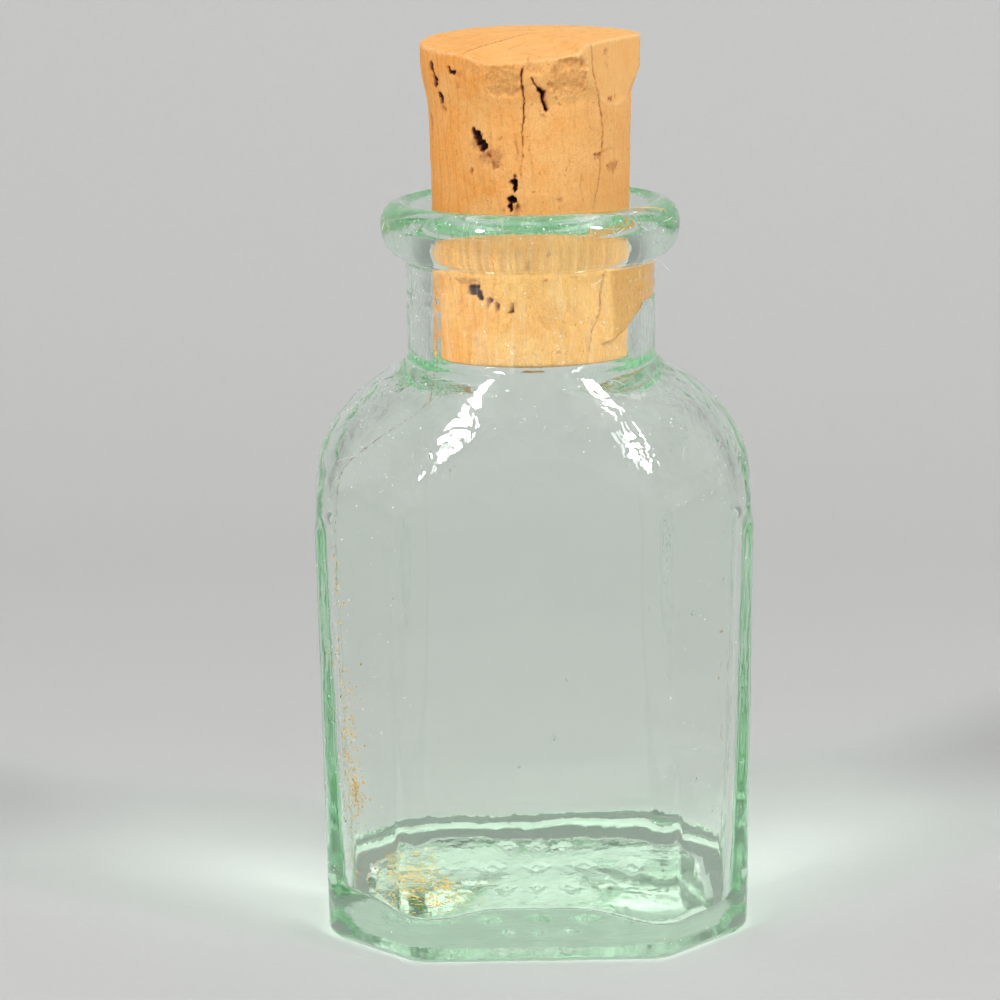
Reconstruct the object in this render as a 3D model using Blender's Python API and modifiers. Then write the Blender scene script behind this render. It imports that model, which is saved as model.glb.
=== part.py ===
"""An apothecary bottle in pale green pressed glass, closed by a tapered cork stopper.

Metres, +Z up. The origin is under the middle of the foot, and the bottle's broad face looks along -Y.
The glass is one closed loft. Its rings of points start under the foot, climb the outside, roll over the
lip and go down the inside to the floor. Every ring has the same columns, so a chamfered rectangle at the
foot can pass into an arched shoulder and then into a round neck.
"""

import math

import bmesh
import bpy
from mathutils import Matrix, Vector

OBJECT_NAME = "apothecary_bottle"

# Body: a rectangle with chamfered corners that is a little narrower at the foot than at the shoulder
BODY_WIDTH = 0.0560
BODY_DEPTH = 0.0400
FOOT_NARROWING = 0.0014
CORNER_CHAMFER = 0.0112
CORNER_BLEND = 0.0016
HEEL_RADIUS = 0.0016
SHOULDER_START = 0.0557

# Shoulder: its side rises in an arc, and its front leans back in a cone that cuts the broad panel in an arch
SHOULDER_RADIUS = 0.01985
SHOULDER_OVERHANG = 0.00097
FRONT_ARCH_RISE = 0.0118
ARCH_BLEND = 0.0012
NECK_FOOT_RISE = 0.0198
NECK_FOOT_BLEND = 0.0040

# Neck and lip
BORE_RADIUS = 0.0127
BORE_FLARE = 0.0002
NECK_WALL = 0.0032
NECK_LENGTH = 0.0126
LIP_HEIGHT = 0.0071
LIP_REACH = 0.0031
LIP_CROWN_INSET = 0.0027
LIP_WIDEST_SHARE = 0.58
MOUTH_DEPTH = 0.0047

# Thickness of the glass
PANEL_WALL = 0.0029
SHOULDER_WALL = 0.0030
INNER_CORNER_BLEND = 0.0030
INNER_FOOT_BLEND = 0.0030
HEEL_THICKENING = 0.0009
HEEL_THICKENING_HEIGHT = 0.0080
FLOOR_THICKNESS = 0.0070
FLOOR_DIP = 0.0016
FLOOR_FILLET = 0.0016
RECESS_DEPTH = 0.0008
RESTING_RIM = 0.0040
RECESS_SLOPE = 0.0010

# Cork: its side is set by the bore where the two meet
CORK_CLEARANCE = 0.0003
CORK_INSERTION = 0.0197
CORK_LENGTH = 0.0404
CORK_TAPER = 0.030
CORK_FOOT_BEVEL = 0.0004
CORK_HEAD_FLARE = 0.0007
CORK_HEAD_HEIGHT = 0.0085
CORK_FLARE_HEIGHT = 0.0040
CORK_CROWN_BEVEL = 0.0004
CORK_TOP_TILT = math.radians(2.4)
CHIP_DEPTH = 0.0006
CHIP_HEIGHT = 0.0066
CHIP_TURN = math.radians(-6)
FLAKE_SLOPE = math.radians(8.8)
FLAKE_RISE_SLOPE = math.radians(32)
FACET_DEPTH = 0.0018
FACET_TURN = math.radians(57)
FACET_LEAN = math.radians(5.6)
CUT_OVERRUN = 0.0050

# The flake broken off the front of the cork's top, as shares of the head's radius: it slopes away from a crease
# between the first two points, and rises again to the line between the last two
FLAKE_CREASE_FRONT_SHARES = (-0.61, -0.76)
FLAKE_CREASE_BACK_SHARES = (0.01, 0.32)
FLAKE_RISE_FRONT_SHARES = (0.42, -0.89)

# Pits in the cork's side: turn from the front, height above the cork's foot, half width, half height, depth
PIT_SHARES = (
    (-0.166, 0.88, 0.050, 0.200, 0.13),
    (-0.124, 0.90, 0.055, 0.060, 0.08),
    (-0.075, 0.67, 0.080, 0.170, 0.15),
    (-0.031, 0.54, 0.055, 0.160, 0.12),
    (0.013, 0.85, 0.045, 0.190, 0.11),
    (-0.078, 0.22, 0.110, 0.080, 0.09),
)

# Facets
FRONT_STEPS = 7
CHAMFER_STEPS = 6
SIDE_STEPS = 3
HEEL_STEPS = 3
BODY_STEPS = 4
SHOULDER_STEPS = 15
LIP_STEPS = 9
MOUTH_STEPS = 4
BORE_STEPS = 2
FILLET_STEPS = 3
FLOOR_STEPS = 2
CORK_STEPS = 48
PIT_SEGMENTS = 12
PIT_RINGS = 8
SMOOTH_ANGLE = math.radians(32)
MERGE_DISTANCE = 0.00001
LEAST_COSINE = 0.001

NECK_RADIUS = BORE_RADIUS + NECK_WALL
NECK_FOOT = SHOULDER_START + NECK_FOOT_RISE
NECK_TOP = NECK_FOOT + NECK_LENGTH
LIP_TOP = NECK_TOP + LIP_HEIGHT
FRONT_CONE_SLOPE = (BODY_DEPTH / 2 - NECK_RADIUS) / (NECK_FOOT_RISE - FRONT_ARCH_RISE)
CORK_FOOT = LIP_TOP - CORK_INSERTION
CORK_TOP = CORK_FOOT + CORK_LENGTH


def clear_scene():
    """Remove what the scene holds, so that the script can be run again."""
    for item in list(bpy.data.objects):
        bpy.data.objects.remove(item, do_unlink=True)


def new_collection(name):
    collection = bpy.data.collections.new(name)
    bpy.context.scene.collection.children.link(collection)
    return collection


def new_material(name, colour, roughness, transmission=0.0):
    material = bpy.data.materials.new(name)
    material.use_nodes = True
    shader = material.node_tree.nodes["Principled BSDF"]
    shader.inputs["Base Color"].default_value = (*colour, 1.0)
    shader.inputs["Roughness"].default_value = roughness
    shader.inputs["Metallic"].default_value = 0.0
    shader.inputs["Transmission Weight"].default_value = transmission
    return material


def new_object(name, mesh, collection, material=None):
    item = bpy.data.objects.new(name, mesh)
    collection.objects.link(item)
    if material:
        mesh.materials.append(material)
    return item


def smooth_min(first, second, blend):
    """The smaller of two lengths, rounded off where they cross."""
    overlap = max(blend - abs(first - second), 0.0) / blend
    return min(first, second) - overlap * overlap * blend / 4


def smooth_max(first, second, blend):
    return -smooth_min(-first, -second, blend)


def column_angles():
    """Directions of the columns. A column stands on each corner of the chamfered rectangle."""
    half_width, half_depth = BODY_WIDTH / 2, BODY_DEPTH / 2
    side_corner = math.atan2(half_depth - CORNER_CHAMFER, half_width)
    front_corner = math.atan2(half_depth, half_width - CORNER_CHAMFER)
    sectors = (
        (0.0, side_corner, SIDE_STEPS),
        (side_corner, front_corner, CHAMFER_STEPS),
        (front_corner, math.pi / 2, FRONT_STEPS),
    )
    quarter = [
        low + (high - low) * step / steps
        for low, high, steps in sectors
        for step in range(steps)
    ]
    mirrored = [math.pi - angle for angle in reversed(quarter[1:])]
    half = quarter + [math.pi / 2] + mirrored
    return half + [math.pi + angle for angle in half]


ANGLES = column_angles()


def body_half_width(height):
    share = min(max(height / SHOULDER_START, 0.0), 1.0)
    return (BODY_WIDTH - FOOT_NARROWING * (1 - share)) / 2


def panel_reach(angle, height, inset=0.0, blend=CORNER_BLEND):
    """How far the chamfered rectangle reaches from the axis, with its sides drawn in by inset."""
    across, along = abs(math.cos(angle)), abs(math.sin(angle))
    half_width, half_depth = body_half_width(height), BODY_DEPTH / 2
    chamfer = half_width + half_depth - CORNER_CHAMFER - inset * math.sqrt(2)
    reach = chamfer / (across + along)
    reach = smooth_min(reach, (half_width - inset) / max(across, LEAST_COSINE), blend)
    return smooth_min(reach, (half_depth - inset) / max(along, LEAST_COSINE), blend)


def dome_reach(angle, height, inset=0.0):
    """The shoulder's dome: an arc at the sides and a cone at the front and back."""
    rise = height - SHOULDER_START
    radius = SHOULDER_RADIUS - inset
    arc_centre = BODY_WIDTH / 2 + SHOULDER_OVERHANG - SHOULDER_RADIUS
    side = arc_centre + math.sqrt(max(radius**2 - rise**2, 0.0))
    cone_inset = inset * math.hypot(1.0, FRONT_CONE_SLOPE)
    front = NECK_RADIUS + (NECK_FOOT - height) * FRONT_CONE_SLOPE - cone_inset
    front = max(front, arc_centre)
    return 1.0 / math.hypot(math.cos(angle) / side, math.sin(angle) / front)


def outer_reach(angle, height):
    reach = smooth_min(panel_reach(angle, height), dome_reach(angle, height), ARCH_BLEND)
    return smooth_max(reach, NECK_RADIUS, NECK_FOOT_BLEND)


def inner_wall(height):
    """The panels are thickest near the floor, where the glass cooled first."""
    above_floor = max(height - FLOOR_THICKNESS, 0.0)
    return PANEL_WALL + HEEL_THICKENING * math.exp(-above_floor / HEEL_THICKENING_HEIGHT)


def inner_panel_reach(angle, height, inset=0.0):
    return panel_reach(angle, height, inner_wall(height) + inset, INNER_CORNER_BLEND)


def inner_reach(angle, height):
    panel = inner_panel_reach(angle, height)
    reach = smooth_min(panel, dome_reach(angle, height, SHOULDER_WALL), ARCH_BLEND)
    return smooth_max(reach, BORE_RADIUS + BORE_FLARE, INNER_FOOT_BLEND)


def floor_height(angle, share=1.0):
    """The floor dips towards the four front and back corners."""
    corner = math.atan2(BODY_DEPTH / 2, BODY_WIDTH / 2 - CORNER_CHAMFER)
    folded = math.atan2(abs(math.sin(angle)), abs(math.cos(angle)))
    spread = (math.pi / 2 - corner) / 3
    dip = math.exp(-(((folded - corner) / spread) ** 2))
    return FLOOR_THICKNESS - FLOOR_DIP * dip * share**3


def round_ring(radius, height):
    return [(radius, height) for _ in ANGLES]


def eased(low, high, steps):
    """Heights from low to high, closer together towards high."""
    return [low + (high - low) * math.sin(math.pi / 2 * step / steps) for step in range(steps + 1)]


def foot_rings():
    """From the recess under the foot, over the resting rim and up the rounded heel."""
    rim_inset = HEEL_RADIUS + RESTING_RIM
    recess_edge = rim_inset + RECESS_SLOPE
    rings = [
        [(panel_reach(angle, 0.0, recess_edge), RECESS_DEPTH) for angle in ANGLES],
        [(panel_reach(angle, 0.0, rim_inset), 0.0) for angle in ANGLES],
    ]
    for step in range(HEEL_STEPS + 1):
        turn = math.pi / 2 * step / HEEL_STEPS
        inset = HEEL_RADIUS * (1 - math.sin(turn))
        height = HEEL_RADIUS * (1 - math.cos(turn))
        rings.append([(panel_reach(angle, height, inset), height) for angle in ANGLES])
    return rings


def outer_rings():
    rings = []
    for step in range(1, BODY_STEPS):
        height = HEEL_RADIUS + (SHOULDER_START - HEEL_RADIUS) * step / BODY_STEPS
        rings.append([(panel_reach(angle, height), height) for angle in ANGLES])
    top = NECK_FOOT + NECK_FOOT_BLEND / 2
    for height in eased(SHOULDER_START, top, SHOULDER_STEPS):
        rings.append([(outer_reach(angle, height), height) for angle in ANGLES])
    return rings


def lip_rings():
    """The rolled lip, from the crease under it, round its widest line to the crown and into the bore."""
    crown_radius = NECK_RADIUS + LIP_REACH - LIP_CROWN_INSET
    widest = NECK_TOP + LIP_HEIGHT * LIP_WIDEST_SHARE
    rings = [round_ring(NECK_RADIUS, NECK_TOP)]
    for step in range(1, LIP_STEPS + 1):
        turn = math.pi * (step / LIP_STEPS - 0.5)
        half_height = LIP_TOP - widest if turn > 0 else widest - NECK_TOP
        radius = crown_radius + LIP_CROWN_INSET * math.cos(turn)
        rings.append(round_ring(radius, widest + half_height * math.sin(turn)))
    for step in range(1, MOUTH_STEPS + 1):
        turn = math.pi / 2 * step / MOUTH_STEPS
        radius = crown_radius - (crown_radius - BORE_RADIUS) * math.sin(turn)
        rings.append(round_ring(radius, LIP_TOP - MOUTH_DEPTH * (1 - math.cos(turn))))
    return rings


def inner_rings():
    """Down the bore, out under the shoulder and down the panels to the floor."""
    throat = LIP_TOP - MOUTH_DEPTH
    top = NECK_FOOT + INNER_FOOT_BLEND / 2
    rings = []
    for step in range(1, BORE_STEPS + 1):
        share = step / BORE_STEPS
        rings.append(round_ring(BORE_RADIUS + BORE_FLARE * share, throat + (top - throat) * share))
    for height in reversed(eased(SHOULDER_START, top, SHOULDER_STEPS)[:-1]):
        rings.append([(inner_reach(angle, height), height) for angle in ANGLES])
    for height in reversed(eased(FLOOR_THICKNESS + FLOOR_FILLET, SHOULDER_START, BODY_STEPS)[1:-1]):
        rings.append([(inner_panel_reach(angle, height), height) for angle in ANGLES])
    for step in range(FILLET_STEPS + 1):
        turn = math.pi / 2 * step / FILLET_STEPS
        inset = FLOOR_FILLET * (1 - math.cos(turn))
        lift = FLOOR_FILLET * (1 - math.sin(turn))
        rings.append(
            [(inner_panel_reach(a, floor_height(a) + lift, inset), floor_height(a) + lift) for a in ANGLES]
        )
    return rings


def floor_rings(edge_ring):
    rings = []
    for step in range(1, FLOOR_STEPS + 1):
        share = 1 - step / (FLOOR_STEPS + 1)
        rings.append(
            [(reach * share, floor_height(angle, share)) for angle, (reach, _) in zip(ANGLES, edge_ring)]
        )
    return rings


def loft(rings, first_pole, last_pole):
    """One closed surface through the rings, with a point at each end."""
    shape = bmesh.new()
    loops = [
        [
            shape.verts.new((reach * math.cos(angle), reach * math.sin(angle), height))
            for angle, (reach, height) in zip(ANGLES, ring)
        ]
        for ring in rings
    ]
    count = len(ANGLES)
    for lower, upper in zip(loops, loops[1:]):
        for column in range(count):
            after = (column + 1) % count
            shape.faces.new((lower[column], lower[after], upper[after], upper[column]))
    for loop, height in ((loops[0], first_pole), (loops[-1], last_pole)):
        pole = shape.verts.new((0.0, 0.0, height))
        for column in range(count):
            shape.faces.new((loop[column], loop[(column + 1) % count], pole))
    bmesh.ops.recalc_face_normals(shape, faces=shape.faces)
    mesh = bpy.data.meshes.new("glass")
    shape.to_mesh(mesh)
    shape.free()
    return mesh


def make_glass_bottle(collection):
    """The bottle is a single piece of glass, with its lip rolled from the neck."""
    rings = foot_rings() + outer_rings() + lip_rings() + inner_rings()
    rings += floor_rings(rings[-1])
    mesh = loft(rings, RECESS_DEPTH, FLOOR_THICKNESS)
    mesh.shade_smooth()
    mesh.set_sharp_from_angle(angle=SMOOTH_ANGLE)
    colour = (0.70, 0.86, 0.76)
    glass = new_material("pale green glass", colour, roughness=0.03, transmission=1.0)
    return new_object("glass_bottle", mesh, collection, glass)


def cork_radius(height):
    """The cork's tapered side, which clears the throat of the bore by CORK_CLEARANCE."""
    throat = LIP_TOP - MOUTH_DEPTH
    return BORE_RADIUS - CORK_CLEARANCE + (height - throat) * CORK_TAPER


def cork_head_radius():
    return cork_radius(CORK_TOP) + CORK_HEAD_FLARE


def cork_profile():
    """Points of the turned cork, from the middle of its top down its side to the middle of its foot."""
    flare_foot = CORK_TOP - CORK_HEAD_HEIGHT
    flare_top = flare_foot + CORK_FLARE_HEIGHT
    head_radius = cork_head_radius()
    points = [
        (0.0, CORK_TOP),
        (head_radius - CORK_CROWN_BEVEL, CORK_TOP),
        (head_radius, CORK_TOP - CORK_CROWN_BEVEL),
    ]
    for share in (1.0, 0.75, 0.5, 0.25, 0.0):
        height = flare_foot + (flare_top - flare_foot) * share
        swell = CORK_HEAD_FLARE * share**2 * (3 - 2 * share)
        points.append((cork_radius(height) + swell, height))
    points.append((cork_radius(LIP_TOP), LIP_TOP))
    points.append((cork_radius(CORK_FOOT + CORK_FOOT_BEVEL), CORK_FOOT + CORK_FOOT_BEVEL))
    points.append((cork_radius(CORK_FOOT) - CORK_FOOT_BEVEL, CORK_FOOT))
    points.append((0.0, CORK_FOOT))
    return points


def turned_mesh(name, points):
    mesh = bpy.data.meshes.new(name)
    edges = [(index, index + 1) for index in range(len(points) - 1)]
    mesh.from_pydata([(radius, 0.0, height) for radius, height in points], edges, [])
    return mesh


def as_cutter(item):
    item.hide_render = True
    item.display_type = "WIRE"
    return item


def box_cutter(name, size, matrix, collection):
    """A box whose lower face lies on the origin of its matrix."""
    shape = bmesh.new()
    bmesh.ops.create_cube(shape, size=1.0)
    bmesh.ops.translate(shape, verts=shape.verts, vec=(0.0, 0.0, 0.5))
    bmesh.ops.scale(shape, verts=shape.verts, vec=size)
    mesh = bpy.data.meshes.new(name)
    shape.to_mesh(mesh)
    shape.free()
    item = as_cutter(new_object(name, mesh, collection))
    item.matrix_world = matrix
    return item


def pit_cutter(index, shares, collection):
    """An ellipsoid on the cork's side, sunk to the pit's depth."""
    turn_share, height_share, width_share, tall_share, depth_share = shares
    height = CORK_FOOT + CORK_LENGTH * height_share
    radius = cork_radius(height)
    shape = bmesh.new()
    bmesh.ops.create_uvsphere(shape, u_segments=PIT_SEGMENTS, v_segments=PIT_RINGS, radius=1.0)
    half_sizes = (radius * width_share, radius * depth_share, radius * tall_share)
    bmesh.ops.scale(shape, verts=shape.verts, vec=half_sizes)
    mesh = bpy.data.meshes.new(f"pit_{index}")
    shape.to_mesh(mesh)
    shape.free()
    item = as_cutter(new_object(f"pit_{index}", mesh, collection))
    around = Matrix.Rotation(math.tau * turn_share, 4, "Z")
    item.matrix_world = around @ Matrix.Translation((0.0, -radius, height))
    return item


def facing_matrix(point, normal):
    """A frame at point whose Z looks along normal."""
    return Matrix.Translation(point) @ normal.to_track_quat("Z", "Y").to_matrix().to_4x4()


def slanted_height(y):
    return CORK_TOP + (y - cork_head_radius()) * math.tan(CORK_TOP_TILT)


def falling_plane(start_shares, end_shares, slope):
    """A plane through a line on the slanted top, which falls away on the right of the line."""
    start, end = Vector(start_shares) * cork_head_radius(), Vector(end_shares) * cork_head_radius()
    along = (end - start).normalized()
    fall = math.tan(slope)
    normal = Vector((along.y * fall, -along.x * fall - math.tan(CORK_TOP_TILT), 1.0))
    return facing_matrix(Vector((*start, slanted_height(start.y))), normal)


def flake_cutter(size, collection):
    """What lies above both the long slope of the broken flake and the short one at its right end."""
    slope = falling_plane(FLAKE_CREASE_FRONT_SHARES, FLAKE_CREASE_BACK_SHARES, FLAKE_SLOPE)
    rise = falling_plane(FLAKE_CREASE_BACK_SHARES, FLAKE_RISE_FRONT_SHARES, FLAKE_RISE_SLOPE)
    flake = box_cutter("broken_flake", size, slope, collection)
    both = flake.modifiers.new("rise", "BOOLEAN")
    both.operation = "INTERSECT"
    both.solver = "EXACT"
    both.object = box_cutter("flake_rise", size, rise, collection)
    return flake


def chip_cutters(collection):
    """The slanted top with its broken flake, the flat chip out of the front of the head and the cut facet."""
    head_radius = cork_head_radius()
    span = 4 * head_radius
    slab = (span, span, CUT_OVERRUN)
    top = Matrix.Translation((0.0, 0.0, slanted_height(0.0))) @ Matrix.Rotation(CORK_TOP_TILT, 4, "X")
    chip_size = (span, CORK_HEAD_HEIGHT, CHIP_HEIGHT + CUT_OVERRUN)
    outwards = Vector((0.0, -head_radius + CHIP_DEPTH - CORK_HEAD_HEIGHT / 2, CORK_TOP - CHIP_HEIGHT))
    chip = Matrix.Rotation(CHIP_TURN, 4, "Z") @ Matrix.Translation(outwards)
    facing = Vector((math.sin(FACET_TURN), -math.cos(FACET_TURN), math.tan(FACET_LEAN))).normalized()
    facet = facing_matrix(Vector((0.0, 0.0, CORK_TOP)) + facing * (head_radius - FACET_DEPTH), facing)
    return [
        box_cutter("slanted_top", slab, top, collection),
        flake_cutter(slab, collection),
        box_cutter("head_chip", chip_size, chip, collection),
        box_cutter("head_facet", slab, facet, collection),
    ]


def make_cork_stopper(collection, cutters):
    """A turned cork whose head has swelled, with its chips and pits cut out."""
    mesh = turned_mesh("cork", cork_profile())
    cork = new_material("cork", (0.76, 0.50, 0.24), roughness=0.85)
    item = new_object("cork_stopper", mesh, collection, cork)
    screw = item.modifiers.new("turn", "SCREW")
    screw.steps = CORK_STEPS
    screw.render_steps = CORK_STEPS
    screw.use_merge_vertices = True
    screw.merge_threshold = MERGE_DISTANCE
    screw.use_smooth_shade = True
    pits = [pit_cutter(index, shares, cutters) for index, shares in enumerate(PIT_SHARES)]
    for cutter in chip_cutters(cutters) + pits:
        cut = item.modifiers.new(cutter.name, "BOOLEAN")
        cut.operation = "DIFFERENCE"
        cut.solver = "EXACT"
        cut.object = cutter
    return item


def main():
    clear_scene()
    parts = new_collection(OBJECT_NAME)
    cutters = new_collection("cutters")
    make_glass_bottle(parts)
    make_cork_stopper(parts, cutters)


main()
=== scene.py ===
"""The looks of an apothecary bottle: pressed glass with its flaws and dust, and a worn cork.

Metres, +Z up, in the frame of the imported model. The bottle's broad face looks along -Y.
A turn is measured from the front, positive towards +X.
"""

import math
import random

import bpy
import numpy as np
from bpy.props import FloatProperty, FloatVectorProperty, IntProperty, PointerProperty
from bpy.types import Operator, Panel, PropertyGroup
from mathutils import Matrix, Vector, noise


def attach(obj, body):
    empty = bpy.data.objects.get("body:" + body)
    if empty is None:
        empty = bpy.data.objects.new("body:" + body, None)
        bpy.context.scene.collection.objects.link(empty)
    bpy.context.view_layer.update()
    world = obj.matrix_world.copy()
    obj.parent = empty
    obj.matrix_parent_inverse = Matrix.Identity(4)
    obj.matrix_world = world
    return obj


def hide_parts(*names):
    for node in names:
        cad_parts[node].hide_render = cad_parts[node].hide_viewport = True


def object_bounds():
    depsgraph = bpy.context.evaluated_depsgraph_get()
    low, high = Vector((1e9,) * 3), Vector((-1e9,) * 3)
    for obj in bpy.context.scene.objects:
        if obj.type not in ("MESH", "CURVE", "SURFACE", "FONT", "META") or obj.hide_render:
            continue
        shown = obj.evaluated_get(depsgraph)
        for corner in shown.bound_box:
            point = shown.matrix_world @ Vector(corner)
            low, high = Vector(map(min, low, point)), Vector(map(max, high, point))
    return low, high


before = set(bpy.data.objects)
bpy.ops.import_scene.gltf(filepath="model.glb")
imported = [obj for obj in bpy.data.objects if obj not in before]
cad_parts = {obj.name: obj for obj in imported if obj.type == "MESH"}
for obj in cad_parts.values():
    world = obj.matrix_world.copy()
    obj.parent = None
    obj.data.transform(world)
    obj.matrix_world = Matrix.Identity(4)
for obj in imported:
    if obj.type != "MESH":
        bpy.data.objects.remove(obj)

bl_info = {
    "name": "Apothecary Bottle",
    "version": (1, 0, 0),
    "blender": (4, 5, 0),
    "location": "View3D > Sidebar > Bottle",
    "description": "Builds a pale green glass bottle, its cork, its dust and residue, and a studio round it",
    "category": "Object",
}

CAD_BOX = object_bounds()
# Materials read places in millimetres
MILLIMETRES = 1000.0

# Body: a rectangle with chamfered corners that is a little narrower at the foot than at the shoulder
BODY_WIDTH = 0.0560
BODY_DEPTH = 0.0400
FOOT_NARROWING = 0.0014
CORNER_CHAMFER = 0.0112
CORNER_BLEND = 0.0016
HEEL_RADIUS = 0.0016
SHOULDER_START = 0.0557
BOX_MARGIN = 0.00006

# Shoulder
SHOULDER_RADIUS = 0.01985
SHOULDER_OVERHANG = 0.00097
FRONT_ARCH_RISE = 0.0118
ARCH_BLEND = 0.0012
NECK_FOOT_RISE = 0.0198
NECK_FOOT_BLEND = 0.0040

# Neck and lip
BORE_RADIUS = 0.0127
BORE_FLARE = 0.0002
NECK_WALL = 0.0032
NECK_LENGTH = 0.0126
LIP_HEIGHT = 0.0071
LIP_REACH = 0.0031
LIP_CROWN_INSET = 0.0027
LIP_WIDEST_SHARE = 0.58
MOUTH_DEPTH = 0.0038
MOUTH_ROUNDNESS = 1.3
RIPPLE_HEIGHTS = (0.0848, 0.0829)
RIPPLE_TILT = 0.00045
RIPPLE_DEPTH = 0.00022
RIPPLE_WIDTH = 0.00030

# Thickness of the glass
PANEL_WALL = 0.0029
SHOULDER_WALL = 0.0030
INNER_CORNER_BLEND = 0.0016
INNER_FOOT_BLEND = 0.0030
INNER_CHAMFER_AT_FLOOR = 0.0098
INNER_CHAMFER_AT_SHOULDER = 0.0122
HEEL_THICKENING = 0.0009
HEEL_THICKENING_HEIGHT = 0.0080
FLOOR_THICKNESS = 0.0070
FLOOR_FRONT_DROP = 0.0006
FLOOR_BACK_RISE = 0.0014
FLOOR_FILLET_FRONT = 0.0006
FLOOR_FILLET_BACK = 0.0009
RECESS_DEPTH = 0.0008
RESTING_RIM = 0.0040
RECESS_SLOPE = 0.0010
RECESS_FADE_SHARE = 0.1
# Lumps of the glass in the recess: size, height and seed
RECESS_LUMPS = ((0.0021, 0.000018, 61), (0.0009, 0.000008, 61))

# Dips of the floor at its front corners: turn, half width and depth
FLOOR_DIPS = (
    (math.radians(-41), math.radians(13), 0.0014),
    (math.radians(47), math.radians(17), 0.0026),
    (math.radians(67), math.radians(11), 0.0018),
)

# Relief under the foot: plain hollow lozenges, in a row across the middle and a shorter row on either side.
# Each row is its count, its pitch, its place along Y, and the half width and half depth of a lozenge.
RELIEF_HEIGHT = 0.00052
LOZENGE_ROWS = (
    (3, 0.0036, 0.0112, 0.0014, 0.0015),
    (5, 0.0062, 0.0032, 0.0022, 0.0027),
    (3, 0.0040, -0.0046, 0.0013, 0.0014),
)
LOZENGE_LINE_SHARE = 0.42
LOZENGE_SOFT_SHARE = 0.30

# Mould seam that runs down the left of the neck, slants over the shoulder and follows the left chamfer:
# its heights, and its turn at each
SEAM_LEVELS = (0.0600, 0.0627, 0.0641, 0.0657, 0.0675, 0.0689, 0.0706, 0.0719, 0.0731, 0.0752)
SEAM_TURNS = np.radians((-65.0, -65.0, -63.0, -59.0, -55.0, -50.0, -45.0, -42.5, -44.0, -48.5))
SEAM_HEIGHT = 0.00005
SEAM_WIDTH_SHARE = 0.014

# Waviness of the glass: heights of its slow waves
OUTER_WAVE = 0.000035
INNER_WAVE = 0.00013
FLOOR_WAVE = 0.00010
WAVE_COUNT = 22
# Least and most waves round the bottle or the cork, and their least and most length along it
WAVE_RANGE = (1, 11, 0.006, 0.045)
SMALL_WAVE_RANGE = (9, 34, 0.0025, 0.012)
INNER_WAVE_RANGE = (8, 30, 0.006, 0.045)
FLOOR_WAVE_RANGE = (1, 5, 0.012, 0.06)
SWELL_WAVE_RANGE = (9, 30, 0.002, 0.01)

# Facets of the glass
GLASS_COLUMNS = 264
FOOT_DISC_STEPS = 52
HEEL_STEPS = 8
BODY_STEPS = 34
SHOULDER_STEPS = 52
NECK_STEPS = 26
LIP_STEPS = 46
MOUTH_STEPS = 16
BORE_STEPS = 18
INNER_SHOULDER_STEPS = 46
PANEL_STEPS = 38
FILLET_STEPS = 8
FLOOR_STEPS = 16
CORNER_CROWDING = 2.2
CORNER_CROWD_WIDTH = math.radians(3.2)
LEAST_COSINE = 0.001
# Places at which a crowding of columns is worked out
FINE_COUNT = 7201

# Long bubble in the right wall: turn share, height, half width, half height and how flat it is
LONG_BUBBLE = (0.250, 0.0510, 0.00042, 0.0068, 0.6)
# Small bubbles: their radii as shares of a third of the wall
BUBBLE_COUNT = 26
BUBBLE_SHARES = (0.06, 0.22)
BUBBLE_FLAT_SHARE = 0.8

# Cork: its side is set by the bore where the two meet
CORK_CLEARANCE = 0.0003
CORK_INSERTION = 0.0197
CORK_LENGTH = 0.0404
CORK_TAPER = 0.022
CORK_OFFSET = 0.00012
CORK_FOOT_BEVEL = 0.0004
CORK_CROWN_BEVEL = 0.00035
LEFT_FLARE = 0.00080
LEFT_FLARE_FOOT = 0.1060
LEFT_FLARE_TOP = 0.1128
RIGHT_FLARE = 0.00100
RIGHT_FLARE_FOOT = 0.1084
RIGHT_FLARE_TOP = 0.1120
# The top is cut level on the right and falls towards the front on the left
TOP_SLOPE_LEFT = 0.064
TOP_SLOPE_RIGHT = 0.008
# A flake has broken off its front: it falls away from a crease and ends in a short rise on the right
CREASE_FRONT = (-0.0086, -0.0106)
CREASE_BACK = (0.0001, 0.0044)
CREASE_SLOPE = 0.38
BROKEN_START = 0.0035
BROKEN_SLOPE = 0.064
RISE_FRONT = (0.0068, -0.0123)
RISE_BACK = (0.0014, 0.0021)
RISE_SLOPE = 1.0
TOP_BLEND = 0.0004
FACET_TURN = math.radians(57)
FACET_LEAN = math.radians(0.5)
FACET_REACH = 0.01236
FACET_FOOT = 0.1084
FACET_FOOT_SLOPE = 0.42
FACET_BLEND = 0.0002
RIM_CHATTER = 0.00042
# Lumps that crumbled from the rim: size, seed and weight
CHATTER_LUMPS = ((0.0013, 41, 1.0), (0.0005, 42, 0.6))
CHATTER_TURN = math.radians(-10)
CHATTER_WIDTH = math.radians(38)
RIM_BAND = 0.0004
SWELL_REACH = 0.00006
SWELL_TURN = math.radians(78)
SWELL_WIDTH = math.radians(40)
SWELL_FOOT = 0.0778
SWELL_CLIMB = 0.0042
SWELL_WOBBLE = 0.0003

CORK_COLUMNS = 400
CORK_FOOT_RINGS = 10
CORK_BEVEL_RINGS = 4
CORK_SIDE_RINGS = 190
CORK_TOP_RINGS = 32
FRONT_CROWDING = 1.4
FRONT_CROWD_TURN = math.radians(95)
FRONT_CROWD_FADE = math.radians(30)
ON_FOOT, ON_SIDE, ON_TOP = -1, 0, 1

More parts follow.
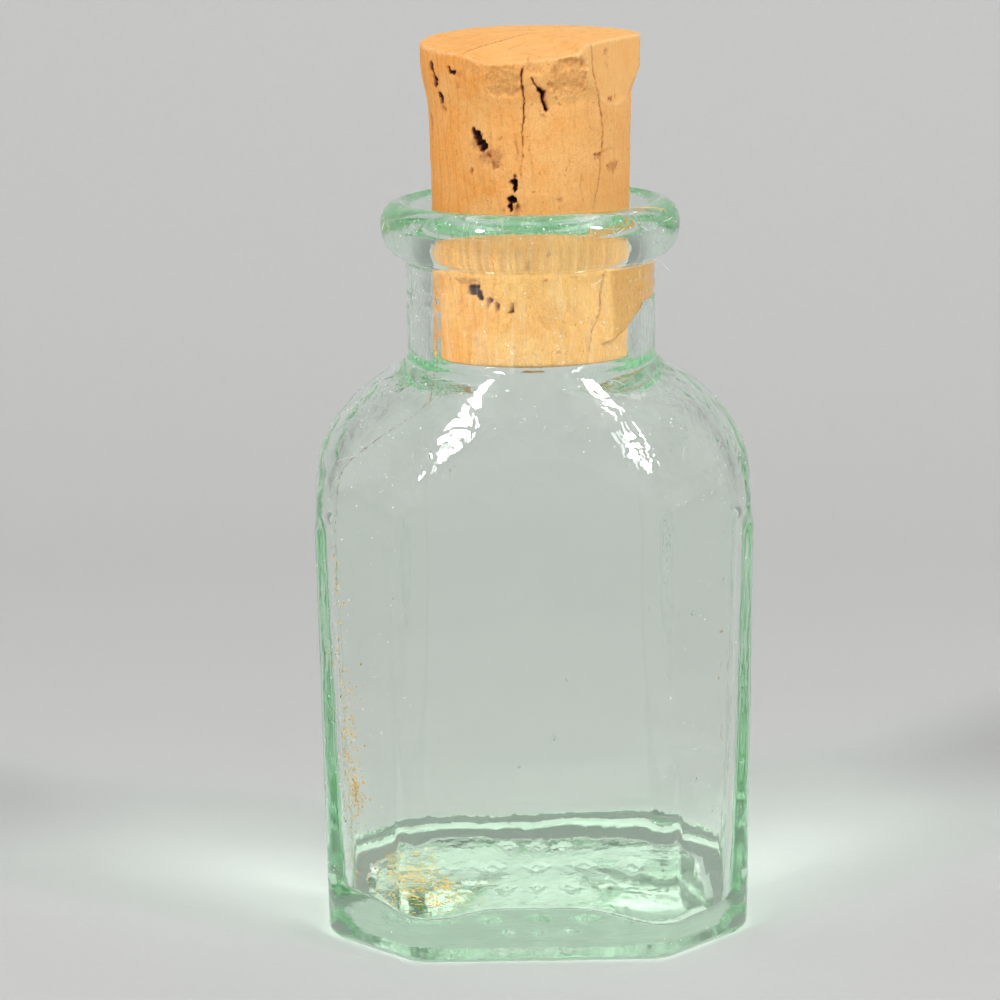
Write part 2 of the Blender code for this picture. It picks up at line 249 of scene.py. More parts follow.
# Lumps that bend the outlines of the cork's marks and roughen its surface: size, height and seed
WARP_LUMPS = ((0.0011, 0.00026, 2), (0.0004, 0.00022, 3))
SWAY_LUMPS = ((0.0009, 0.00022, 12), (0.00035, 0.00020, 13))
FINE_LUMPS = ((0.0016, 0.00006, 6), (0.0005, 0.00003, 7))
STREAK_LUMPS = ((0.0007, 0.00004, 8),)
STREAK_STRETCH = (1.0, 1.0, 0.16)
CRUMBLE_LUMPS = ((0.00035, 0.00012, 10),)

# Lumps that fray the marks and vary the depth of the patches: size and seed
RAGGED_LUMPS = (0.0005, 4)
TORN_LUMPS = (0.0022, 11)
COARSE_LUMPS = (0.0009, 5)

# Pits: turn from the front, height above the cork's foot, half width, half height, depth.
# The turn is a share of a full turn, the height of the cork's length and the rest of its radius.
PIT_SHARES = (
    (-0.1740, 0.915, 0.045, 0.060, 0.120),
    (-0.1685, 0.872, 0.055, 0.072, 0.130),
    (-0.1610, 0.820, 0.040, 0.060, 0.060),
    (-0.1565, 0.790, 0.030, 0.035, 0.045),
    (-0.1240, 0.905, 0.042, 0.028, 0.075),
    (-0.1300, 0.915, 0.020, 0.020, 0.050),
    (-0.0940, 0.728, 0.036, 0.045, 0.100),
    (-0.0865, 0.712, 0.056, 0.056, 0.160),
    (-0.0780, 0.682, 0.052, 0.064, 0.150),
    (-0.0705, 0.650, 0.050, 0.030, 0.036),
    (-0.0610, 0.634, 0.020, 0.040, 0.030),
    (-0.0560, 0.618, 0.026, 0.020, 0.026),
    (-0.0290, 0.575, 0.042, 0.036, 0.120),
    (-0.0255, 0.556, 0.022, 0.042, 0.095),
    (-0.0318, 0.522, 0.048, 0.040, 0.135),
    (-0.0345, 0.500, 0.030, 0.046, 0.095),
    (-0.0235, 0.494, 0.036, 0.070, 0.028),
    (-0.1000, 0.602, 0.022, 0.030, 0.030),
    (-0.0280, 0.592, 0.018, 0.018, 0.040),
    (-0.2110, 0.750, 0.030, 0.042, 0.030),
    (-0.2055, 0.706, 0.024, 0.060, 0.022),
    (0.1400, 0.812, 0.022, 0.014, 0.024),
    (0.1600, 0.818, 0.014, 0.022, 0.020),
    (0.1350, 0.606, 0.024, 0.014, 0.026),
    (0.1560, 0.600, 0.016, 0.026, 0.022),
    (0.1180, 0.645, 0.030, 0.014, 0.030),
    (-0.0950, 0.246, 0.070, 0.046, 0.052),
    (-0.0830, 0.226, 0.044, 0.058, 0.056),
    (-0.0680, 0.206, 0.036, 0.060, 0.046),
    (-0.0560, 0.192, 0.030, 0.040, 0.034),
    (-0.0350, 0.184, 0.032, 0.036, 0.046),
    (0.2900, 0.860, 0.050, 0.060, 0.110),
    (0.3020, 0.830, 0.040, 0.052, 0.080),
    (0.3600, 0.640, 0.060, 0.050, 0.130),
    (0.3720, 0.612, 0.042, 0.060, 0.080),
    (0.4400, 0.900, 0.040, 0.060, 0.090),
    (0.5300, 0.720, 0.050, 0.040, 0.100),
    (0.5400, 0.690, 0.034, 0.052, 0.070),
    (0.6100, 0.560, 0.044, 0.060, 0.110),
    (0.6700, 0.820, 0.050, 0.042, 0.100),
    (0.6780, 0.790, 0.030, 0.060, 0.070),
    (0.4700, 0.240, 0.060, 0.060, 0.100),
    (0.3300, 0.300, 0.040, 0.050, 0.080),
    (0.6400, 0.180, 0.050, 0.040, 0.080),
)
PORE_COUNT = 70
PORE_SHARES = (0.008, 0.024)

# Cracks: points of turn share and height share, half width and depth as shares of the radius, and darkness
CRACK_SHARES = (
    (((-0.0028, 0.965), (-0.0042, 0.945)), 0.0060, 0.020, 0.30),
    (((-0.0120, 0.922), (-0.0136, 0.905), (-0.0126, 0.860)), 0.0072, 0.050, 0.55),
    (((-0.0126, 0.860), (-0.0112, 0.824), (-0.0118, 0.755)), 0.0060, 0.045, 0.42),
    (((-0.0118, 0.760), (-0.0146, 0.700), (-0.0150, 0.650)), 0.0044, 0.030, 0.26),
    (((-0.0150, 0.650), (-0.0180, 0.610), (-0.0172, 0.585)), 0.0030, 0.015, 0.12),
    (((-0.0240, 0.700), (-0.0222, 0.670), (-0.0232, 0.640)), 0.0030, 0.012, 0.08),
    (((-0.0120, 0.922), (-0.0080, 0.934), (0.0006, 0.930)), 0.0032, 0.010, 0.08),
    (((0.0014, 0.893), (0.0070, 0.868), (0.0125, 0.852)), 0.0055, 0.050, 0.70),
    (((0.0110, 0.858), (0.0165, 0.846), (0.0178, 0.825)), 0.0165, 0.110, 1.00),
    (((0.0178, 0.828), (0.0190, 0.810), (0.0232, 0.793)), 0.0125, 0.090, 1.00),
    (((0.0917, 0.983), (0.0955, 0.930), (0.0986, 0.886)), 0.0050, 0.030, 0.25),
    (((0.0986, 0.886), (0.1075, 0.850), (0.1139, 0.817)), 0.0042, 0.022, 0.20),
    (((0.1139, 0.817), (0.1190, 0.770), (0.1228, 0.730), (0.1222, 0.663)), 0.0055, 0.034, 0.35),
    (
        ((0.1222, 0.663), (0.1180, 0.640), (0.1175, 0.590), (0.1120, 0.540), (0.1047, 0.483)),
        0.0042, 0.022, 0.20,
    ),
    (((0.1164, 0.314), (0.1100, 0.240), (0.1090, 0.170)), 0.0048, 0.026, 0.25),
    (((0.1090, 0.170), (0.0950, 0.110), (0.0867, 0.045)), 0.0036, 0.018, 0.18),
    (((0.1060, 0.650), (0.1130, 0.646), (0.1200, 0.652)), 0.0080, 0.040, 0.60),
    (((0.1200, 0.652), (0.1400, 0.664), (0.1520, 0.655)), 0.0035, 0.015, 0.15),
    (((0.0830, 0.590), (0.0800, 0.540), (0.0840, 0.510)), 0.0030, 0.012, 0.12),
    (((0.4100, 0.985), (0.4150, 0.860), (0.4060, 0.730), (0.4120, 0.600)), 0.0085, 0.060, 0.60),
    (((0.7200, 0.900), (0.7150, 0.760), (0.7230, 0.640), (0.7190, 0.520)), 0.0060, 0.045, 0.40),
    (((0.2300, 0.800), (0.2340, 0.650), (0.2290, 0.540)), 0.0050, 0.036, 0.30),
)

CRACK_SPREAD_SHARE = 1.5
CRACK_WANDER_SHARE = 0.55

# Broken patches set back from the side, two of them with painted shadow: turn, height, half width, half
# height, depth, and how rough they are
PATCH_SHARES = (
    (-0.0444, 0.884, 0.185, 0.175, 0.026, 1.0),
    (-0.0800, 0.930, 0.120, 0.120, 0.014, 0.5),
    (0.0070, 0.930, 0.090, 0.100, 0.020, 0.5),
    (0.0530, 0.893, 0.190, 0.200, 0.048, 0.8),
    # a narrow set-back with painted shadow under the lower edge of the broken flake
    (0.0560, 0.846, 0.200, 0.034, 0.020, 1.0),
    # a shallow dent with painted shade, seen through the neck
    (-0.1060, 0.262, 0.170, 0.036, 0.016, 1.0),
    (0.4800, 0.930, 0.340, 0.170, 0.045, 0.9),
    (0.6200, 0.950, 0.200, 0.140, 0.035, 0.7),
)

# Lines on the top, the first of them painted shade along the crease: start and end, half width, and how dark
CREASE_LINES = (
    # painted shade along the crease of the broken flake
    (CREASE_FRONT, CREASE_BACK, 0.00010, 0.75),
    ((-0.0027, -0.0060), (-0.0008, -0.0030), 0.00008, 0.55),
    ((-0.0027, 0.0075), (0.0030, 0.0090), 0.00008, 0.35),
    ((0.0072, -0.0080), (0.0105, 0.0010), 0.00006, 0.30),
)
CREASE_FADE = 0.0005
CREASE_WANDER = 0.0002

# Cork's colours, the side that is warmer, and the soft edges of the band that the lip rubbed, which is
# darkened also as painted shade under the lip
CORK_TONES = ("pale", "warm", "edge_highlight", "deep", "speck", "chip_and_shade", "stain_and_shade", "pit")
WARM_LEFT = -0.010
WARM_RIGHT = 0.002
WARM_DRIFT = 0.004
RUBBED_SHADE_FOOT_FADE = 0.0004
RUBBED_SHADE_TOP_FADE = 0.0006
CORK_RELIEF = 0.0002

# Fine relief of the glass, and how far the draw marks at its foot reach below and above the floor
GLASS_RELIEF = 0.0002
DRAWN_BELOW_FLOOR = 0.0015
DRAWN_ABOVE_FLOOR = 0.0010

# Reddish marks, and one patch of painted shade in a dent: turn, height, half width, half height, strength
STAIN_AND_SHADE_SHARES = (
    (-0.1600, 0.800, 0.050, 0.070, 0.9),
    (-0.0665, 0.655, 0.170, 0.110, 1.0),
    (-0.0560, 0.632, 0.070, 0.075, 0.9),
    (-0.0850, 0.690, 0.100, 0.110, 0.8),
    (-0.0250, 0.500, 0.050, 0.080, 0.9),
    (0.0200, 0.778, 0.030, 0.040, 0.9),
    (0.1440, 0.812, 0.080, 0.040, 1.0),
    (0.1500, 0.606, 0.110, 0.085, 1.0),
    (0.1130, 0.640, 0.050, 0.030, 0.8),
    (-0.2080, 0.730, 0.050, 0.110, 0.9),
    # painted shade in the shallow dent seen through the neck
    (-0.1060, 0.262, 0.180, 0.034, 0.55),
    (0.0600, 0.285, 0.070, 0.024, 0.9),
    (-0.1030, 0.290, 0.060, 0.026, 0.9),
    (0.0180, 0.275, 0.030, 0.020, 0.9),
    (0.1330, 0.958, 0.035, 0.045, 0.8),
    (0.1340, 0.915, 0.020, 0.045, 0.6),
    (-0.1120, 0.900, 0.080, 0.050, 0.6),
    (0.3660, 0.625, 0.110, 0.090, 0.9),
    (0.5350, 0.700, 0.100, 0.070, 0.9),
    (0.2950, 0.840, 0.080, 0.080, 0.8),
    (0.6700, 0.800, 0.080, 0.080, 0.9),
)

# Dust, scratches, fibres and residue. Dust lies round the middle of the shoulder.
SHOULDER_MIDDLE = 0.066
DUST_SPREAD = 0.0085
# Turn and spread in degrees of the dust on the left of the shoulder, and of that on the body's left edge
DUST_DEGREES = ((-62, 42), (-68, 12))
DUST_COUNT = 2300
DUST_SIZES = (0.00004, 0.00015)
SCRATCH_COUNT = 90
SCRATCH_TURN = math.radians(-25)
SCRATCH_TURN_SPREAD = math.radians(45)
SCRATCH_LENGTHS = (0.0003, 0.0010)
SCRATCH_WIDTH = 0.000028
SEAM_DIRT_STEP = 0.00020
SEAM_DIRT_SIZE = 0.00017
FIBRE_COUNT = 22
FIBRE_TURNS = (math.radians(20), math.radians(100))
FIBRE_LENGTHS = (0.0007, 0.0021)
FIBRE_RADIUS = 0.000022
FIBRE_STEPS = 9
FIBRE_SIDES = 5
CRUMB_SIZES = (0.00005, 0.00026)
CRUMB_LIFT_SHARE = 0.4
FLAKE_FLATNESS = 0.35

# Residue: turn share and height of a cluster's middle, its spread as a share and a length, and its crumbs
RESIDUE_CLUSTERS = (
    (-0.188, 0.0270, 0.006, 0.0045, 260),
    (-0.180, 0.0205, 0.005, 0.0022, 200),
    (-0.205, 0.0360, 0.006, 0.0100, 260),
    (-0.170, 0.0100, 0.020, 0.0020, 120),
)
# Residue on the floor: its middle along X and Y, its spreads, and its crumbs
FLOOR_RESIDUE = (
    (-0.0150, -0.0050, 0.0013, 0.0042, 460),
    (-0.0128, -0.0118, 0.0026, 0.0014, 380),
    (-0.0178, -0.0020, 0.0012, 0.0045, 260),
    (-0.0118, -0.0075, 0.0009, 0.0012, 120),
)

# Camera, as fitted to the photograph
CAMERA_PLACE = (-0.006526, -0.428644, 0.150374)
CAMERA_YAW = 0.0053
CAMERA_PITCH = 0.2166
CAMERA_ROLL = -0.0131
SENSOR_WIDTH = 36.0
FOCAL_LENGTH = 122.4

# Studio
FLOOR_WIDTH = 2.4
FLOOR_FRONT = -1.3
FLOOR_BACK = 0.55
BACKDROP_HEIGHT = 1.3
SWEEP_RADIUS = 0.35
SWEEP_STEPS = 24
LAMP_DISTANCE = 0.95
# The paper's tone between its fibres, the painted shade that darkens it far out to the sides, and where that
# painted shade starts and ends
TOOTH_SHARE = 0.97
TOOTH_HEIGHT = 0.0001
PAPER_SHADE_SHARE = 0.70
PAPER_MIDDLE = 0.28
PAPER_EDGE = 0.62

# How often light may bounce on its way through the walls of the glass
GLASS_BOUNCES = 24

# Turns, lifts, widths, heights and powers of the soft lamps
LAMPS = (
    ("left_softbox", math.radians(-46), math.radians(39), 0.12, 0.15, 4.3),
    ("right_softbox", math.radians(58), math.radians(39), 0.10, 0.15, 3.8),
    ("top_softbox", math.radians(170), math.radians(62), 0.70, 0.50, 1.3),
)

NECK_RADIUS = BORE_RADIUS + NECK_WALL
NECK_FOOT = SHOULDER_START + NECK_FOOT_RISE
NECK_TOP = NECK_FOOT + NECK_LENGTH
LIP_TOP = NECK_TOP + LIP_HEIGHT
THROAT = LIP_TOP - MOUTH_DEPTH
CROWN_RADIUS = NECK_RADIUS + LIP_REACH - LIP_CROWN_INSET
LIP_WIDEST = NECK_TOP + LIP_HEIGHT * LIP_WIDEST_SHARE
FRONT_CONE_SLOPE = (BODY_DEPTH / 2 - NECK_RADIUS) / (NECK_FOOT_RISE - FRONT_ARCH_RISE)
CORK_FOOT = LIP_TOP - CORK_INSERTION
CORK_TOP = CORK_FOOT + CORK_LENGTH
CORK_RADIUS = BORE_RADIUS - CORK_CLEARANCE
HEAD_RADIUS = CORK_RADIUS + RIGHT_FLARE


def smooth_min(first, second, blend):
    """The smaller of two lengths, rounded off where they cross."""
    overlap = np.maximum(blend - np.abs(first - second), 0.0) / blend
    return np.minimum(first, second) - overlap * overlap * blend / 4


def smooth_max(first, second, blend):
    return -smooth_min(-first, -second, blend)


def eased(value):
    """0 below 0, 1 above 1, and a smooth rise between them."""
    held = np.clip(value, 0.0, 1.0)
    return held * held * (3 - 2 * held)


def bell(value):
    return np.exp(-(value**2))


def body_half_width(height):
    share = np.clip(height / SHOULDER_START, 0.0, 1.0)
    return (BODY_WIDTH - FOOT_NARROWING * (1 - share)) / 2


def panel_reach(angle, height, inset=0.0, blend=CORNER_BLEND, chamfer=CORNER_CHAMFER):
    """How far the chamfered rectangle reaches from the axis, with its sides drawn in by inset."""
    across, along = np.abs(np.cos(angle)), np.abs(np.sin(angle))
    half_width, half_depth = body_half_width(height), BODY_DEPTH / 2
    corner = half_width + half_depth - chamfer - inset * math.sqrt(2)
    reach = corner / (across + along)
    reach = smooth_min(reach, (half_width - inset) / np.maximum(across, LEAST_COSINE), blend)
    return smooth_min(reach, (half_depth - inset) / np.maximum(along, LEAST_COSINE), blend)


def dome_reach(angle, height, inset=0.0):
    """The shoulder's dome: an arc at the sides and a cone at the front and back."""
    rise = height - SHOULDER_START
    radius = SHOULDER_RADIUS - inset
    arc_centre = BODY_WIDTH / 2 + SHOULDER_OVERHANG - SHOULDER_RADIUS
    side = arc_centre + np.sqrt(np.maximum(radius**2 - rise**2, 0.0))
    cone_inset = inset * math.hypot(1.0, FRONT_CONE_SLOPE)
    front = NECK_RADIUS + (NECK_FOOT - height) * FRONT_CONE_SLOPE - cone_inset
    front = np.maximum(front, arc_centre)
    return 1.0 / np.hypot(np.cos(angle) / side, np.sin(angle) / front)


def lip_reach(height):
    """The rolled lip, from the crease under it to its crown."""
    below = (height - LIP_WIDEST) / (LIP_WIDEST - NECK_TOP)
    above = (height - LIP_WIDEST) / (LIP_TOP - LIP_WIDEST)
    share = np.clip(np.where(height < LIP_WIDEST, below, above), -1.0, 1.0)
    return CROWN_RADIUS + LIP_CROWN_INSET * np.sqrt(1 - share**2)


def outer_reach(angle, height):
    panel = panel_reach(angle, height)
    reach = smooth_min(panel, dome_reach(angle, height), ARCH_BLEND)
    reach = smooth_max(reach, NECK_RADIUS, NECK_FOOT_BLEND)
    reach = np.where(height < SHOULDER_START, panel, reach)
    return np.where(height > NECK_TOP, lip_reach(height), reach)


def inner_wall(angle, height):
    """The front panel is thickest near the floor, where the glass cooled first."""
    above_floor = np.maximum(height - FLOOR_THICKNESS, 0.0)
    frontness = 0.5 - 0.5 * np.sin(angle)
    return PANEL_WALL + HEEL_THICKENING * frontness * np.exp(-above_floor / HEEL_THICKENING_HEIGHT)


def inner_panel_reach(angle, height, inset=0.0):
    share = np.clip((height - FLOOR_THICKNESS) / (SHOULDER_START - FLOOR_THICKNESS), 0.0, 1.0)
    chamfer = INNER_CHAMFER_AT_FLOOR + (INNER_CHAMFER_AT_SHOULDER - INNER_CHAMFER_AT_FLOOR) * eased(share)
    return panel_reach(angle, height, inner_wall(angle, height) + inset, INNER_CORNER_BLEND, chamfer)


def inner_reach(angle, height):
    panel = inner_panel_reach(angle, height)
    reach = smooth_min(panel, dome_reach(angle, height, SHOULDER_WALL), ARCH_BLEND)
    reach = smooth_max(reach, BORE_RADIUS + BORE_FLARE, INNER_FOOT_BLEND)
    return np.where(height > SHOULDER_START, reach, panel)


def floor_height(angle, share=1.0):
    """The floor falls towards the front and dips at its two front corners."""
    turn = np.arctan2(np.cos(angle), -np.sin(angle))
    frontness = eased(0.5 - 0.5 * np.sin(angle))
    tilt = FLOOR_FRONT_DROP * frontness - FLOOR_BACK_RISE * (1 - frontness)
    dips = sum(depth * bell((turn - at) / spread) for at, spread, depth in FLOOR_DIPS)
    return FLOOR_THICKNESS - tilt * share**1.4 - dips * share**3


def floor_fillet(angle):
    """The radius between the floor and the wall, which is larger at the back."""
    frontness = 0.5 - 0.5 * np.sin(angle)
    return FLOOR_FILLET_BACK + (FLOOR_FILLET_FRONT - FLOOR_FILLET_BACK) * eased(frontness)


def slow_waves(angle, height, size, seed, wave_range=WAVE_RANGE):
    """Gentle unevenness of hot glass: waves of many directions that close up round the bottle."""
    least_turns, most_turns, least_length, most_length = wave_range
    source = random.Random(seed)
    total = 0.0
    for _ in range(WAVE_COUNT):
        turns = source.randint(least_turns, most_turns)
        length = source.uniform(least_length, most_length) * source.choice((-1, 1))
        phase = source.uniform(0.0, math.tau)
        weight = source.uniform(0.4, 1.0) / math.sqrt(turns)
        total = total + weight * np.sin(turns * angle + math.tau * height / length + phase)
    return size * total / math.sqrt(WAVE_COUNT)


def bumps(points, size, seed):
    """Smooth noise from -1 to 1 at each point, in lumps of that size."""
    shift = Vector((seed * 7.31, seed * 3.77, seed * 5.19))
    return np.array([noise.noise(Vector(point) / size + shift) for point in points])


def layered_bumps(points, layers):
    """Lumps of several sizes on top of each other, each with its size, its height and its seed."""
    return sum(height * bumps(points, size, seed) for size, height, seed in layers)


def seam_angle(height):
    """Where the mould seam lies at a height, as the angle that the reaches take."""
    return np.interp(height, SEAM_LEVELS, SEAM_TURNS) - math.pi / 2


def seam_ridge(angle, height):
    """Two seams, on opposite sides."""
    away = np.sin(angle - seam_angle(height))
    return SEAM_HEIGHT * bell(away / SEAM_WIDTH_SHARE)


def neck_ripples(angle, height):
    """Faint rings that the forming tool left on the neck."""
    tilt = RIPPLE_TILT * np.cos(angle)
    rings = sum(bell((height - at - tilt) / RIPPLE_WIDTH) for at in RIPPLE_HEIGHTS)
    return -RIPPLE_DEPTH * rings


def crowded(fine, density, count):
    """count of the values along fine, closer together where the density is higher."""
    total = np.concatenate(([0.0], np.cumsum((density[1:] + density[:-1]) / 2)))
    return np.interp(np.arange(count) / count * total[-1], total, fine)


def glass_angles():
    """Directions of the columns, closer together at the corners of the chamfered rectangle."""
    side_corner = math.atan2(BODY_DEPTH / 2 - CORNER_CHAMFER, BODY_WIDTH / 2)
    front_corner = math.atan2(BODY_DEPTH / 2, BODY_WIDTH / 2 - CORNER_CHAMFER)
    fine = np.linspace(0.0, math.tau, FINE_COUNT)
    folded = np.arctan2(np.abs(np.sin(fine)), np.abs(np.cos(fine)))
    crowd = sum(bell((folded - corner) / CORNER_CROWD_WIDTH) for corner in (side_corner, front_corner))
    return crowded(fine, 1 + CORNER_CROWDING * crowd, GLASS_COLUMNS)


def underside_relief(x, y):
    """How far the plain hollow lozenges under the foot stand out of the recess."""
    total = 0.0
    for count, pitch, middle_y, half_width, half_depth in LOZENGE_ROWS:
        for index in range(count):
            middle_x = (index - (count - 1) / 2) * pitch
            outward = np.abs((x - middle_x) / half_width) + np.abs((y - middle_y) / half_depth)
            line = (LOZENGE_LINE_SHARE - np.abs(outward - 1 + LOZENGE_LINE_SHARE)) / LOZENGE_SOFT_SHARE
            total = np.maximum(total, eased(line))
    return RELIEF_HEIGHT * total


def steps(low, high, count, first=True):
    """count + 1 values from low to high, without the first where it was made already."""
    values = np.linspace(low, high, count + 1)
    return values if first else values[1:]


def foot_rings(angles):
    """Rings of the recess under the foot, of the rim that the bottle stands on and of its heel."""
    rings = []
    zero = np.zeros(len(angles))
    rim_inset = HEEL_RADIUS + RESTING_RIM
    recess_reach = panel_reach(angles, 0.0, rim_inset + RECESS_SLOPE)
    for share in steps(0.0, 1.0, FOOT_DISC_STEPS, first=False):
        across, along = recess_reach * share * np.cos(angles), recess_reach * share * np.sin(angles)
        lumps = layered_bumps(np.stack((across, along, zero), axis=-1), RECESS_LUMPS)
        lumps = lumps * eased((1 - share) / RECESS_FADE_SHARE)
        rings.append((recess_reach * share, RECESS_DEPTH - underside_relief(across, along) + lumps))
    rings.append((panel_reach(angles, 0.0, rim_inset), zero))
    for share in steps(0.0, 1.0, HEEL_STEPS):
        turn = math.pi / 2 * share
        height = HEEL_RADIUS * (1 - math.cos(turn))
        inset = HEEL_RADIUS * (1 - math.sin(turn)) + BOX_MARGIN
        rings.append((panel_reach(angles, height, inset), zero + height))
    return rings


def side_rings(angles, wave_share):
    """Rings of the panels, the shoulder and the neck, from above the heel to below the lip."""
    rings = []
    heights = np.concatenate((
        steps(HEEL_RADIUS, SHOULDER_START, BODY_STEPS, first=False),
        steps(SHOULDER_START, NECK_FOOT, SHOULDER_STEPS, first=False),
        steps(NECK_FOOT, NECK_TOP, NECK_STEPS, first=False)[:-1],
    ))
    for height in heights:
        fade = eased((height - HEEL_RADIUS) / CORNER_CHAMFER)
        on_shoulder = eased((height - SHOULDER_START) / ARCH_BLEND / 3)
        on_shoulder = on_shoulder * eased((NECK_TOP - height) / ARCH_BLEND)
        wave = slow_waves(angles, height, OUTER_WAVE, 5) * wave_share
        small_wave = OUTER_WAVE * (0.5 + on_shoulder)
        wave = wave + slow_waves(angles, height, small_wave, 6, SMALL_WAVE_RANGE) * wave_share
        highest = BOX_MARGIN / 2 + OUTER_WAVE * 4 * on_shoulder
        reach = outer_reach(angles, height) - BOX_MARGIN + np.minimum(wave, highest) * fade
        reach = reach + seam_ridge(angles, height) + neck_ripples(angles, height)
        rings.append((reach, np.full(len(angles), height)))
    return rings


def lip_rings(angles, wave_share):
    """Rings of the rolled lip, from the crease under it to its crown."""
    rings = []
    for share in steps(0.0, 1.0, LIP_STEPS):
        turn = math.pi * (share - 0.5)
        half_height = LIP_TOP - LIP_WIDEST if turn > 0 else LIP_WIDEST - NECK_TOP
        height = LIP_WIDEST + half_height * math.sin(turn)
        wave = slow_waves(angles, height, OUTER_WAVE, 8) * wave_share * math.cos(turn)
        reach = CROWN_RADIUS + LIP_CROWN_INSET * math.cos(turn) + 2 * wave
        rings.append((reach, height + wave - BOX_MARGIN))
    return rings


def mouth_rings(angles, wave_share):
    """Rings of the mouth's bevel and of the bore under it."""
    rings = []
    zero = np.zeros(len(angles))
    for share in steps(0.0, 1.0, MOUTH_STEPS, first=False):
        turn = math.pi / 2 * share
        inward = math.sin(turn) ** (2 / MOUTH_ROUNDNESS)
        level = max(math.cos(turn), 0.0) ** (2 / MOUTH_ROUNDNESS)
        height = LIP_TOP - MOUTH_DEPTH * (1 - level) - BOX_MARGIN
        rings.append((zero + CROWN_RADIUS - (CROWN_RADIUS - BORE_RADIUS) * inward, zero + height))
    for share in steps(0.0, 1.0, BORE_STEPS, first=False):
        height = THROAT + (NECK_FOOT - THROAT) * share
        wave = slow_waves(angles, height, INNER_WAVE / 3, 12) * share * wave_share
        rings.append((zero + BORE_RADIUS + BORE_FLARE * share + np.maximum(wave, 0.0), zero + height))
    return rings


def inner_unevenness(angles, height):
    wave = slow_waves(angles, height, INNER_WAVE, 15)
    return wave + slow_waves(angles, height, INNER_WAVE / 3, 16, INNER_WAVE_RANGE)


def cavity_rings(angles, wave_share):
    """Rings of the inside below the neck: the shoulder, the panels, the fillet and the floor."""
    rings = []
    fillet = floor_fillet(angles)
    wall_foot = floor_height(angles) + fillet
    heights = list(steps(NECK_FOOT, SHOULDER_START, INNER_SHOULDER_STEPS, first=False))
    for share in steps(0.0, 1.0, PANEL_STEPS, first=False)[:-1]:
        heights.append(SHOULDER_START + (wall_foot - SHOULDER_START) * share)
    for height in heights:
        wave = inner_unevenness(angles, height) * eased((NECK_FOOT - height) / NECK_FOOT_BLEND)
        rings.append((inner_reach(angles, height) + wave * wave_share, np.zeros(len(angles)) + height))
    foot_wave = inner_unevenness(angles, wall_foot)
    for share in steps(0.0, 1.0, FILLET_STEPS):
        turn = math.pi / 2 * share
        height = wall_foot - fillet * math.sin(turn)
        inset = fillet * (1 - math.cos(turn))
        wave = foot_wave * (1 - share) * wave_share
        rings.append((inner_panel_reach(angles, height, inset) + wave, height))
    edge = rings[-1][0]
    for share in steps(1.0, 0.0, FLOOR_STEPS, first=False)[:-1]:
        wave = slow_waves(angles, share * BODY_DEPTH, FLOOR_WAVE, 21, FLOOR_WAVE_RANGE)
        wave = wave * share * (1 - share) * wave_share
        rings.append((edge * share, floor_height(angles, share) + wave))
    return rings


def glass_rings(angles, wave_share):
    """Rings of the glass as (reach, height) pairs of arrays, up the outside, over the lip and down inside.

    Also tells how many of them are outside, up to the lip's crown.
    """
    outside = foot_rings(angles) + side_rings(angles, wave_share) + lip_rings(angles, wave_share)
    inside = mouth_rings(angles, wave_share) + cavity_rings(angles, wave_share)
    return outside + inside, len(outside) - 1


def bubble_shell(centre, radii, flat_share, segments=14, rings=9):
    """Points and faces of a bubble caught in the glass, whose faces look inwards."""
    points = [(0.0, 0.0, 1.0)]
    for ring in range(1, rings):
        lift = math.pi * ring / rings
        reach = math.sin(lift)
        for segment in range(segments):
            turn = math.tau * segment / segments
            points.append((reach * math.cos(turn), reach * math.sin(turn), math.cos(lift)))
    points.append((0.0, 0.0, -1.0))
    faces = []
    for segment in range(segments):
        after = (segment + 1) % segments
        faces.append((0, 1 + after, 1 + segment))
        low = 1 + (rings - 2) * segments
        faces.append((low + segment, low + after, len(points) - 1))
        for ring in range(rings - 2):
            start = 1 + ring * segments
            under = start + segments
            faces.append((start + segment, start + after, under + after, under + segment))
    out = math.atan2(centre[1], centre[0])
    placed = []
    for x, y, z in points:
        along, across = x * radii[0] * flat_share, y * radii[0]
        placed.append((
            centre[0] + along * math.cos(out) - across * math.sin(out),
            centre[1] + along * math.sin(out) + across * math.cos(out),
            centre[2] + z * radii[1],
        ))
    return placed, faces


def bubble_places():
    """The long bubble in the right wall, and small ones here and there, each with how flat it is."""
    turn_share, height, half_width, half_height, flat_share = LONG_BUBBLE
    angle = turn_share * math.tau - math.pi / 2
    reach = float(outer_reach(angle, height)) - PANEL_WALL / 2
    centre = (reach * math.cos(angle), reach * math.sin(angle), height)
    places = [(centre, (half_width, half_height), flat_share)]
    source = random.Random(31)
    for _ in range(BUBBLE_COUNT):
        angle = source.uniform(0.0, math.tau)
        height = source.uniform(FLOOR_THICKNESS * 2, NECK_FOOT)
        size = source.uniform(*BUBBLE_SHARES) * PANEL_WALL / 3
        reach = (float(outer_reach(angle, height)) + float(inner_reach(angle, height))) / 2
        centre = (reach * math.cos(angle), reach * math.sin(angle), height)
        places.append((centre, (size, size * source.uniform(1.0, 2.6)), BUBBLE_FLAT_SHARE))
    return places


def ring_faces(ring_count, columns, first_pole, last_pole):
    """Quads between rings of points, and a fan at each end."""
    faces = []
    for ring in range(ring_count - 1):
        low = ring * columns
        for column in range(columns):
            after = (column + 1) % columns
            faces.append((low + column, low + after, low + columns + after, low + columns + column))
    last = (ring_count - 1) * columns
    for column in range(columns):
        after = (column + 1) % columns
        faces.append((first_pole, after, column))
        faces.append((last + column, last + after, last_pole))
    return faces


